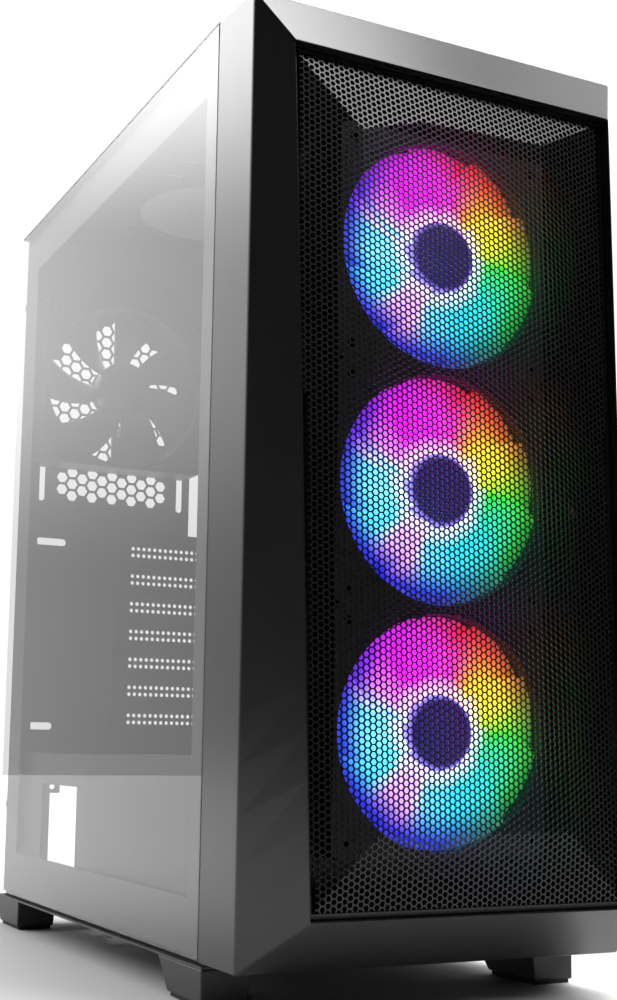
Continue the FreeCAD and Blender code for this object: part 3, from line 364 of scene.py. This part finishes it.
def net(name):
    """Woven filter net: square holes 0.5 mm wide on a 0.9 mm grid, cut by alpha."""
    f = Finish(name)
    where = f.add("ShaderNodeSeparateXYZ", None, {"Vector": f.place()}).socket.node
    pitch = 0.0009

    def thread(axis):
        """Distance from the middle of a hole, 0 to half a pitch, along one axis."""
        along = Signal(f, where.outputs[axis]) / pitch
        offset = along.math("FRACT", along) - 0.5
        return offset.math("ABSOLUTE", offset)

    across, down = thread(0), thread(1)
    solid = across.math("MAXIMUM", across, down).step(0.26, 0.32)
    shade = f.tint(f.noise(900.0), grey(0.015), grey(0.05))
    return f.surface(f.principled(Base_Color=shade, Roughness=0.7, Alpha=solid))


screw_zinc = metal("screw_zinc", (0.06, 0.06, 0.065), 0.38)
brass = metal("brass", (0.72, 0.55, 0.26), 0.3)
plated = metal("plated", (0.62, 0.62, 0.64), 0.25)
black_rubber = rubber("black_rubber", 0.012)
circuit = board("circuit")
filter_net = net("filter_net")
socket_plastic = moulding("socket_plastic", 0.015, 0.3)
print("small finishes ready")

# %% [markdown]
# The side is smoked tempered glass. It could refract, but light leaves a flat pane in the direction
# in which it came, and a refracting pane would leave the inside dark or grainy. So a clear shader lets
# it straight through. A mirror is mixed in by the Fresnel law, which gives back about a fifth of
# the white room at this low angle, and a little haze veils what is behind.

# %% Smoked glass
def smoked_glass(name):
    """Clear tint, a thin veil of dust, and a Fresnel mirror over both, on the side that faces out."""
    f = Finish(name)
    through = f.add("ShaderNodeBsdfTransparent", None, {"Color": (0.84, 0.845, 0.85, 1)})
    dust = f.noise(30.0, 4.0)
    veil = f.add("ShaderNodeBsdfDiffuse", None, {"Color": (0.75, 0.75, 0.76, 1)})
    front = 1 - f.add("ShaderNodeNewGeometry", out="Backfacing")
    hazed = f.add("ShaderNodeMixShader", None, {0: (0.07 + dust * 0.04) * front, 1: through, 2: veil})
    mirror = f.add("ShaderNodeBsdfGlossy", None, {"Color": grey(1.0), "Roughness": 0.02})
    share = f.add("ShaderNodeFresnel", None, {"IOR": 1.5}) * front
    return f.surface(f.add("ShaderNodeMixShader", None, {0: share, 1: hazed, 2: mirror}))


pane_glass = smoked_glass("pane_glass")
print("glass ready")

# %% [markdown]
# Each turning fan is lit from its hub, and the colours run round it like a colour wheel: magenta at
# the top, then red, orange, green, teal and blue. The rim is deeper in colour and the middle paler.
# Small lamps behind clear blades would be truer but grainy, so the blades give off the light. The
# pattern is worked out from the angle and the distance to the fan's own centre. A wheel's stops are
# shares of a turn, clockwise from the top, each with its colour.

# %% Lit blades
GLOW = 3.0
PALE_VIOLET = (0.80, 0.62, 1.0, 1.0)
INNER_WHEEL = [
    (0.00, (0.84, 0.002, 0.80)), (0.045, (0.80, 0.02, 0.20)), (0.09, (0.80, 0.16, 0.01)),
    (0.14, (0.70, 0.46, 0.002)), (0.19, (0.55, 0.56, 0.002)), (0.25, (0.008, 0.50, 0.004)),
    (0.35, (0.002, 0.48, 0.36)), (0.46, (0.002, 0.40, 0.60)), (0.53, (0.06, 0.35, 0.62)),
    (0.565, (0.50, 0.22, 0.62)), (0.625, (0.46, 0.22, 0.68)), (0.66, (0.03, 0.50, 0.80)),
    (0.74, (0.10, 0.62, 0.92)), (0.79, (0.06, 0.45, 0.85)), (0.84, (0.62, 0.12, 0.74)),
    (0.90, (0.78, 0.002, 0.78)), (1.00, (0.84, 0.002, 0.80))]
OUTER_WHEEL = [
    (0.00, (0.50, 0.006, 0.22)), (0.05, (0.46, 0.004, 0.01)), (0.12, (0.36, 0.03, 0.004)),
    (0.19, (0.14, 0.10, 0.002)), (0.25, (0.01, 0.22, 0.003)), (0.35, (0.002, 0.20, 0.01)),
    (0.42, (0.002, 0.10, 0.10)), (0.48, (0.002, 0.02, 0.26)), (0.56, (0.002, 0.002, 0.40)),
    (0.64, (0.002, 0.003, 0.42)), (0.72, (0.003, 0.02, 0.40)), (0.80, (0.004, 0.01, 0.34)),
    (0.86, (0.10, 0.002, 0.50)), (0.92, (0.36, 0.003, 0.56)), (1.00, (0.50, 0.006, 0.22))]


def glow(name, centre, reach):
    """Emission by angle and distance: an inner and an outer colour wheel, mixed by distance."""
    f = Finish(name)
    across, up, radius = f.around(centre)
    turn = across.math("ARCTAN2", across, up) / (2 * math.pi)
    turn = turn.math("FRACT", turn + 1.0)
    distance = radius / reach
    inner = f.add("ShaderNodeValToRGB", {"stops": INNER_WHEEL}, {"Fac": turn})
    outer = f.add("ShaderNodeValToRGB", {"stops": OUTER_WHEEL}, {"Fac": turn})
    wheel = f.tint(distance.step(0.56, 0.95), inner, outer)
    pale = (1 - distance.step(0.33, 0.52)) * 0.5
    lit = f.tint(pale, wheel, PALE_VIOLET)
    fade = 0.35 + 0.65 * (1 - distance.step(0.86, 1.04))
    texture = f.noise(260.0, 2.0)
    level = fade * (0.9 + texture * 0.2)
    bright = f.add("ShaderNodeVectorMath", {"operation": "SCALE"}, {0: lit, "Scale": level})
    return f.surface(f.principled(Base_Color=(0.10, 0.10, 0.11, 1), Roughness=0.35,
                                  Emission_Color=bright, Emission_Strength=GLOW))


print("glow ready")

# %% [markdown]
# Most shapes below are a grid of points: rows along one parameter, columns along the other. Stacked
# modifiers could shape them too, but a formula over a grid keeps each shape in a few named sizes. One
# function turns points into a mesh object, and another joins a grid's points, closing it where asked.

# %% Grid meshes
def mesh_object(name, points, faces, material, smooth=False):
    """A mesh from an array of points and lists of faces."""
    data = bpy.data.meshes.new(name)
    data.from_pydata(points.reshape(-1, 3).tolist(), [], [list(map(int, face)) for face in faces])
    data.materials.append(material)
    data.polygons.foreach_set("use_smooth", np.full(len(data.polygons), smooth))
    data.update()
    piece = bpy.data.objects.new(name, data)
    bpy.context.scene.collection.objects.link(piece)
    return piece


def grid_faces(rows, columns, wrap_rows=False, wrap_columns=False, start=0):
    """Quads between neighbouring rows and columns of a grid, joined to the first where it wraps."""
    r = np.arange(rows if wrap_rows else rows - 1)
    c = np.arange(columns if wrap_columns else columns - 1)
    r, c = (a.ravel() for a in np.meshgrid(r, c, indexing="ij"))
    r2, c2 = (r + 1) % rows, (c + 1) % columns
    return np.stack([r * columns + c, r * columns + c2, r2 * columns + c2, r2 * columns + c], 1) + start


def rounded(piece, width, segments=2, angle=30.0):
    """Softens the edges of a piece by a bevel of the width given."""
    bevel = piece.modifiers.new("soft_edges", "BEVEL")
    bevel.width = width
    bevel.segments = segments
    bevel.limit_method = "ANGLE"
    bevel.angle_limit = math.radians(angle)


print("grid helpers ready")

# %% [markdown]
# The bezel is one moulding like a picture frame: flat sides, then bevels that rise to a crest, then a
# return that holds the mesh. A profile swept round a path would keep one section all the way, but top
# and bottom differ here, so the shape is a short list of rings, each carried round the four sides. The
# lower crest stands further out than the upper one, so the side bevels twist slightly: each side is
# cut into short lengths, which lets the surface follow the twist smoothly.

# %% Front bezel
HALF = bezel_high.x
SEAM = bezel_high.y
FOOT, TOP = bezel_low.z, bezel_high.z
NOSE = 37.4 * MM
EDGE = bezel_low.y + NOSE
CREST = dict(x_high=HALF - 14.5 * MM, y_high=EDGE - 17.9 * MM, z_high=TOP - 33.1 * MM,
             x_low=HALF - 19.6 * MM, y_low=EDGE - NOSE, z_low=FOOT + 26.6 * MM)
NOSE_DROP = 3.3 * MM
WALL = 2.5 * MM
RETURN_DEPTH, RETURN_WALL = 16 * MM, 2 * MM
LENGTHS = 20


def ring(x_high, y_high, z_high, x_low, y_low, z_low):
    """Four corners of a frame outline, clockwise from the top left."""
    return [(-x_high, y_high, z_high), (x_high, y_high, z_high),
            (x_low, y_low, z_low), (-x_low, y_low, z_low)]


def moved(crest, out, back_high, back_low):
    """The crest's outline moved outwards and back."""
    return ring(crest["x_high"] + out, crest["y_high"] + back_high, crest["z_high"] + out,
                crest["x_low"] + out, crest["y_low"] + back_low, crest["z_low"] - out)


def frame_surface(name, rings, material, lengths):
    """A ring-shaped solid: each corner outline is cut into equal lengths, and outlines are joined in turn."""
    corners = np.array(rings)
    share = np.arange(lengths)[None, None, :, None] / lengths
    path = corners[:, :, None, :] * (1 - share) + np.roll(corners, -1, 1)[:, :, None, :] * share
    points = path.reshape(len(rings), 4 * lengths, 3)
    return mesh_object(name, points, grid_faces(len(rings), 4 * lengths, True, True), material)


inner = HALF - WALL
bezel_rings = [
    ring(HALF, SEAM, TOP, HALF, SEAM, FOOT),
    ring(HALF, EDGE, TOP - NOSE_DROP, HALF, EDGE, FOOT),
    moved(CREST, 0, 0, 0),
    moved(CREST, 0, RETURN_DEPTH, RETURN_DEPTH),
    moved(CREST, RETURN_WALL, RETURN_DEPTH, RETURN_DEPTH),
    moved(CREST, RETURN_WALL, 3.3 * MM, 4.5 * MM),
    ring(inner, EDGE + 1 * MM, TOP - NOSE_DROP - WALL, inner, EDGE + 1 * MM, FOOT + WALL),
    ring(inner, SEAM, TOP - WALL, inner, SEAM, FOOT + WALL),
]
bezel = frame_surface("bezel", bezel_rings, bezel_plastic, LENGTHS)
rounded(bezel, 0.9 * MM, 3, 20.0)
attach(bezel, "front_cover")
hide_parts("front_bezel")
print("bezel", len(bezel.data.polygons), "faces")

# %% [markdown]
# The mesh is steel sheet with thousands of small six-sided holes, pressed into shallow facets. Its
# surface is a depth over x and z: flat triangles between a handful of corners, most of them on the
# rim and the rest lifted forwards. A flat sheet could be bent by hand afterwards, but a formula keeps
# the creases straight, so every hole corner is placed on that surface from the start.

# %% Facets of the mesh
RECESS = 6.0 * MM
RISE = 5.5 * MM
SNUG = 0.15 * MM
SPAN = CREST["z_high"] - CREST["z_low"]


def crest_share(z):
    """0 at the lower crest, 1 at the upper crest."""
    return (z - CREST["z_low"]) / SPAN


def between(low, high, share):
    """low at share 0, high at share 1, straight in between."""
    return low + (high - low) * share


def rim_point(side, share):
    """A point on the mesh's left (-1) or right (1) edge, share down from the top."""
    x = between(CREST["x_high"], CREST["x_low"], share) - SNUG
    return side * x, CREST["z_high"] - SNUG - (SPAN - 2 * SNUG) * share


rim = [rim_point(-1, 0), (-0.48 * (CREST["x_high"] - SNUG), CREST["z_high"] - SNUG), rim_point(1, 0),
       rim_point(1, 0.40), rim_point(1, 0.82), rim_point(1, 1), rim_point(-1, 1),
       rim_point(-1, 0.89), rim_point(-1, 0.53)]
lifted = [(-0.62, 0.909), (-0.24, 0.936), (0.53, 0.943), (0.62, 0.565), (0.60, 0.09), (-0.60, 0.09),
          (-0.53, 0.32)]
facets = np.array([(0, 1, 9), (1, 10, 9), (1, 11, 10), (1, 2, 11), (2, 3, 12), (2, 12, 11), (3, 4, 12),
                   (4, 13, 12), (4, 5, 13), (5, 6, 14), (5, 14, 13), (6, 7, 14), (7, 15, 14), (7, 8, 15),
                   (8, 0, 9), (8, 9, 15), (9, 10, 15), (10, 12, 15), (10, 11, 12), (15, 12, 13),
                   (15, 13, 14)])
inside = [(u * between(CREST["x_low"], CREST["x_high"], w), CREST["z_low"] + w * SPAN) for u, w in lifted]
flat = np.array(rim + inside)
rise = np.array([0.0] * len(rim) + [RISE] * len(inside))
depth = between(CREST["y_low"], CREST["y_high"], crest_share(flat[:, 1])) + RECESS - rise


def mesh_depth(x, z):
    """Y of the faceted sheet: in each triangle, the mean of its corners' Y weighted by area shares."""
    best = np.full(x.shape, np.inf)
    y = np.zeros(x.shape)
    for a, b, c in facets:
        (ax, az), (bx, bz), (cx, cz) = flat[a], flat[b], flat[c]
        whole = (bz - cz) * (ax - cx) + (cx - bx) * (az - cz)
        wa = ((bz - cz) * (x - cx) + (cx - bx) * (z - cz)) / whole
        wb = ((cz - az) * (x - cx) + (ax - cx) * (z - cz)) / whole
        wc = 1 - wa - wb
        outside = -np.minimum(np.minimum(wa, wb), wc)
        nearer = outside < best
        best = np.where(nearer, outside, best)
        y = np.where(nearer, wa * depth[a] + wb * depth[b] + wc * depth[c], y)
    return y


print(len(facets), "facets")

# %% [markdown]
# The holes sit on a staggered grid. Cutting thousands of them by a boolean is slow, and holes painted
# by alpha have no thickness from the side, so the steel between them is built: each hole has six
# corners, with a quad to each of three neighbours and a small triangle at each junction, on the front
# and the back of the sheet, and the walls of the holes between. Two halves keep each piece light.

# %% Perforated sheet
PITCH = 3.15 * MM
HOLE = 2.45 * MM
SHEET = 0.7 * MM
EDGE_BAND = 1.6 * MM


def hole_centres():
    """Column and row numbers of the holes, and their x and z, kept inside the sheet's edge band."""
    column = PITCH * math.sqrt(3) / 2
    most = int(HALF / column) + 1
    i, j = np.meshgrid(np.arange(-most, most + 1), np.arange(2 * int(SPAN / PITCH) + 4), indexing="ij")
    same = (i + j) % 2 == 0
    i, j = i[same], j[same]
    x, z = i * column, CREST["z_low"] + j * PITCH / 2
    limit = between(CREST["x_low"], CREST["x_high"], crest_share(z)) - SNUG - EDGE_BAND - HOLE / 2
    keep = (np.abs(x) < limit) & (z > CREST["z_low"] + EDGE_BAND + HOLE / 2)
    keep &= z < CREST["z_high"] - EDGE_BAND - HOLE / 2
    return i[keep], j[keep], x[keep], z[keep]


col, row, cx, cz = hole_centres()
count = len(cx)
angle = np.arange(6) * math.pi / 3
radius = HOLE / math.sqrt(3)
corner_x = cx[:, None] + radius * np.cos(angle)
corner_z = cz[:, None] + radius * np.sin(angle)
corner_y = mesh_depth(corner_x, corner_z)
front_points = np.stack([corner_x, corner_y, corner_z], -1).reshape(-1, 3)
points = np.concatenate([front_points, front_points + np.array([0, SHEET, 0])])
number = np.full((col.max() - col.min() + 3, row.max() - row.min() + 5), -1)
number[col - col.min() + 1, row - row.min() + 2] = np.arange(count)


def neighbour(columns, half_rows):
    """Number of the hole that many columns and half rows away, or -1."""
    return number[col - col.min() + 1 + columns, row - row.min() + 2 + half_rows]


def corner(holes, k):
    """Number of the k-th corner of each hole."""
    return holes * 6 + k % 6


here = np.arange(count)
web = []
steps = [(1, 1), (0, 2), (-1, 1)]      # neighbours at 30, 90 and 150 degrees, in columns and half rows
for k, (dc, dr) in enumerate(steps):
    there = neighbour(dc, dr)
    ok = there >= 0
    a, b = here[ok], there[ok]
    web.append(np.stack([corner(a, k), corner(b, k + 4), corner(b, k + 3), corner(a, k + 1)], 1))
joints = []
for (first, second), (ka, kb, kc) in (((steps[0], steps[1]), (1, 3, 5)), ((steps[1], steps[2]), (2, 4, 0))):
    b, c = neighbour(*first), neighbour(*second)
    ok = (b >= 0) & (c >= 0)
    joints.append(np.stack([corner(here[ok], ka), corner(b[ok], kb), corner(c[ok], kc)], 1))
web = np.concatenate(web)
joints = np.concatenate(joints)
lower = count * 6
k = np.arange(6)
near = (here[:, None] * 6 + k).ravel()
far = (here[:, None] * 6 + (k + 1) % 6).ravel()
walls = np.stack([near, far, far + lower, near + lower], 1)
quads = np.concatenate([web, web[:, ::-1] + lower, walls])
triangles = np.concatenate([joints, joints[:, ::-1] + lower])
middle_z = float(np.median(cz))


def sheet_half(name, upper):
    """The faces whose middle lies in one half, with only the points that they use."""
    parts = []
    for faces in (quads, triangles):
        chosen = (points[faces, 2].mean(1) > middle_z) == upper
        parts.append(faces[chosen])
    used = np.unique(np.concatenate([p.ravel() for p in parts]))
    renumber = np.zeros(len(points), int)
    renumber[used] = np.arange(len(used))
    faces = [f for p in parts for f in renumber[p].tolist()]
    return mesh_object(name, points[used], faces, mesh_coat)


for name, upper in (("mesh_upper", True), ("mesh_lower", False)):
    half = sheet_half(name, upper)
    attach(half, "front_cover")
    print(name, len(half.data.polygons), "faces,", count, "holes in all")

# %% [markdown]
# Round the holes runs a plain band of sheet, which is folded back into a skirt. The skirt grips the
# inside of the bezel, and its folded edge catches the light. The band could grow out of the last row of
# holes, but a ring of its own keeps the outline straight and clean, as the bezel's own rings do.

# %% Mesh rim
def rim_ring(inset, back):
    """The mesh's outline, moved inwards and back from its own plane."""
    return ring(CREST["x_high"] - SNUG - inset, CREST["y_high"] + RECESS + back,
                CREST["z_high"] - SNUG - inset,
                CREST["x_low"] - SNUG - inset, CREST["y_low"] + RECESS + back,
                CREST["z_low"] + SNUG + inset)


band = EDGE_BAND + 1.2 * MM
dip = -0.25 * MM
rim_rings = [rim_ring(0, 9 * MM), rim_ring(0, 0.6 * MM), rim_ring(0.6 * MM, 0), rim_ring(band, dip),
             rim_ring(band, dip + SHEET), rim_ring(SHEET * 1.2, SHEET), rim_ring(SHEET * 1.2, 9 * MM)]
mesh_rim = frame_surface("mesh_rim", rim_rings, mesh_coat, 30)
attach(mesh_rim, "front_cover")
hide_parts("front_mesh")
print("mesh rim ready")

# %% [markdown]
# A fan rotor is a shallow cup with wide, swept blades. Seen from the front the lit blades overlap, so
# that no gap shows between them. Thickening one curved sheet would leave blunt edges all round, so
# each blade is a closed skin: a grid along its chord and its span, for the front and again for the
# back, thinner towards its edges and joined there.

# %% Fan rotors
HUB = 18.8 * MM
ROOT = HUB * 0.97
TIP = 57.0 * MM
SWEEP = math.radians(16)
CAMBER = 1.4 * MM
BLADE_FRONT, BLADE_BACK = 2.0 * MM, 16.0 * MM
CHORD_POINTS, SPAN_POINTS, HUB_STEPS = 13, 12, 64


def axle(body):
    """Where the shaft of a fan stands."""
    return next(joint for joint in frame["joints"] if joint["child"] == body)["pos_m"]


def blade_points(turn, wide, centre, y_front, y_back):
    """Grid of blade points round one chord loop. The angle is the blade's own turn, plus a sweep that
    grows with the span, plus the share of its width along the chord. The depth runs evenly from front
    to back along the chord, less a sine of camber."""
    chord = np.linspace(0, 1, CHORD_POINTS)
    span = np.linspace(0, 1, SPAN_POINTS)
    loop = np.concatenate([chord, chord[::-1]])
    side = np.concatenate([np.zeros(CHORD_POINTS), np.ones(CHORD_POINTS)])
    t, s = np.meshgrid(loop, span, indexing="ij")
    back = np.repeat(side[:, None], len(span), 1)
    r = ROOT + (TIP - ROOT) * s
    sweep = SWEEP * s ** 1.4
    angle = turn + sweep + math.radians(wide) * (t - 0.5) * (1 - 0.06 * s)
    camber = np.sin(math.pi * t) * CAMBER
    thin = (0.5 + 0.9 * np.sin(math.pi * np.clip(t, 0.02, 0.98)) ** 0.5) * MM
    y = y_front + (y_back - y_front) * (t + 0.12 * (1 - s) * (t - 0.5)) - camber + back * thin
    return np.stack([centre[0] + r * np.sin(angle), y, centre[2] + r * np.cos(angle)], -1)


def rotor(node, body, blades, wide, blade_material, hub_material):
    """Blades and hub of one fan, in the place of its node."""
    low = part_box(node)[0]
    centre = axle(body)
    front, back = low.y + BLADE_FRONT, low.y + BLADE_BACK
    grids = [blade_points(2 * math.pi * k / blades, wide, centre, front, back) for k in range(blades)]
    faces = []
    rows, columns = grids[0].shape[:2]
    for k, grid in enumerate(grids):
        start = k * rows * columns
        faces += grid_faces(rows, columns, True, False, start).tolist()
        half = rows // 2
        for end in (0, columns - 1):
            a = np.arange(half - 1)
            cap = np.stack([a, a + 1, rows - 2 - a, rows - 1 - a], 1) * columns + end + start
            faces += (cap if end else cap[:, ::-1]).tolist()
    skin = np.concatenate([grid.reshape(-1, 3) for grid in grids])
    vanes = mesh_object(body + "_blades", skin, faces, blade_material, True)
    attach(vanes, body)
    profile = np.array([(0.0, 0.9), (6.0, 0.9), (14.5, 1.0), (16.9, 1.3), (18.2, 2.2), (18.8, 3.8),
                        (18.8, 17.5), (17.4, 17.5), (17.0, 4.5), (14.0, 3.0), (0.0, 3.0)]) * MM
    around = np.arange(HUB_STEPS) * 2 * math.pi / HUB_STEPS
    r = profile[:, 0][:, None] * np.ones(HUB_STEPS)
    y = np.repeat(low.y - 1.0 * MM + profile[:, 1][:, None], HUB_STEPS, 1)
    hub_grid = np.stack([centre[0] + r * np.sin(around), y, centre[2] + r * np.cos(around)], -1)
    hub_faces = grid_faces(len(profile), HUB_STEPS, False, True)
    hub = mesh_object(body + "_hub", hub_grid, hub_faces, hub_material, True)
    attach(hub, body)
    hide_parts(node)


def hub_finish(name, centre, shine):
    """Dark glossy hub in soft patches, with painted violet light, emitted towards its edge where shine is set."""
    f = Finish(name)
    distance = f.around(centre)[2] / HUB
    patches = f.noise(120.0, 3.0)
    shade = f.tint(patches, grey(0.012), grey(0.03))
    rough = 0.3 + patches * 0.15
    # Painted light: the violet towards the hub's edge is given off by the hub itself, though the hub is no lamp.
    edge = distance.step(0.80, 1.0)
    violet = f.tint(edge, (0.10, 0.03, 0.55, 1), (0.30, 0.22, 1.0, 1))
    level = (0.10 + edge * 0.5) * shine
    lit = f.add("ShaderNodeVectorMath", {"operation": "SCALE"}, {0: violet, "Scale": level})
    return f.surface(f.principled(Base_Color=shade, Roughness=rough, Emission_Color=lit,
                                  Emission_Strength=1.0))


dark_blade = moulding("dark_blade", 0.03, 0.32)
for word in ("top", "middle", "bottom"):
    body = "fan_" + word
    blade_light = glow(body + "_light", axle(body), TIP)
    hub_gloss = hub_finish(body + "_hub_gloss", axle(body), 3.0)
    rotor(body + "_rotor", body, 9, 78.0, blade_light, hub_gloss)
hub_gloss = hub_finish("fan_rear_hub_gloss", axle("fan_rear"), 0.0)
rotor("fan_rear_rotor", "fan_rear", 7, 38.0, dark_blade, hub_gloss)
print("rotors ready")

# %% [markdown]
# Plain sheet and moulded parts keep the model's own shape, since modelling them again could only drift
# from it. Where an edge catches the light it is softened: a copy of the part has its loose triangles
# joined, and takes a small bevel.

# %% Finishes of the carried-over parts
def soften(node, material, width, body):
    """A joined copy of a part with soft edges, standing in its place."""
    source = frame["nodes"][node]
    data = source.data.copy()
    piece = bpy.data.objects.new(node + "_soft", data)
    bpy.context.scene.collection.objects.link(piece)
    work = bmesh.new()
    work.from_mesh(data)
    bmesh.ops.remove_doubles(work, verts=work.verts, dist=1e-6)
    bmesh.ops.dissolve_limit(work, angle_limit=math.radians(1.0), verts=work.verts, edges=work.edges)
    work.to_mesh(data)
    work.free()
    data.materials.clear()
    data.materials.append(material)
    rounded(piece, width)
    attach(piece, body)
    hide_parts(node)


for node in ("foot_front_left", "foot_front_right", "foot_rear_left", "foot_rear_right"):
    soften(node, foot_plastic, 1.0 * MM, "chassis")
soften("top_filter_frame", foot_plastic, 0.4 * MM, "top_filter")

slot_finish = {
    "case_steel": case_coat, "mesh_steel": mesh_coat, "moulded_black": bezel_plastic,
    "fan_plastic": fan_plastic,
    "bearing_metal": brass, "lit_rotor": fan_plastic, "dark_rotor": dark_blade, "brass_standoff": brass,
    "rubber": black_rubber, "black_screw": screw_zinc, "smoked_glass": pane_glass, "filter_net": filter_net,
    "circuit_board": circuit, "port_metal": plated, "port_plastic": socket_plastic,
}
for entry in record["subparts"]:
    node = frame["nodes"][entry["node"]]
    finish = slot_finish[entry["material_slot"]]
    node.data.materials.clear()
    node.data.materials.append(finish)
for node in ("power_button", "reset_button", "io_housing"):
    frame["nodes"][node].data.materials[0] = button_plastic
for name, node in frame["nodes"].items():
    if name.startswith("expansion_cover_"):
        node.data.materials[0] = cover_coat
frame["nodes"]["bezel_clips"].data.materials[0] = clip_plastic
print(len(record["subparts"]), "parts finished")

# %% [markdown]
# At the end, the view layer is brought up to date.

# %% End
bpy.context.view_layer.update()
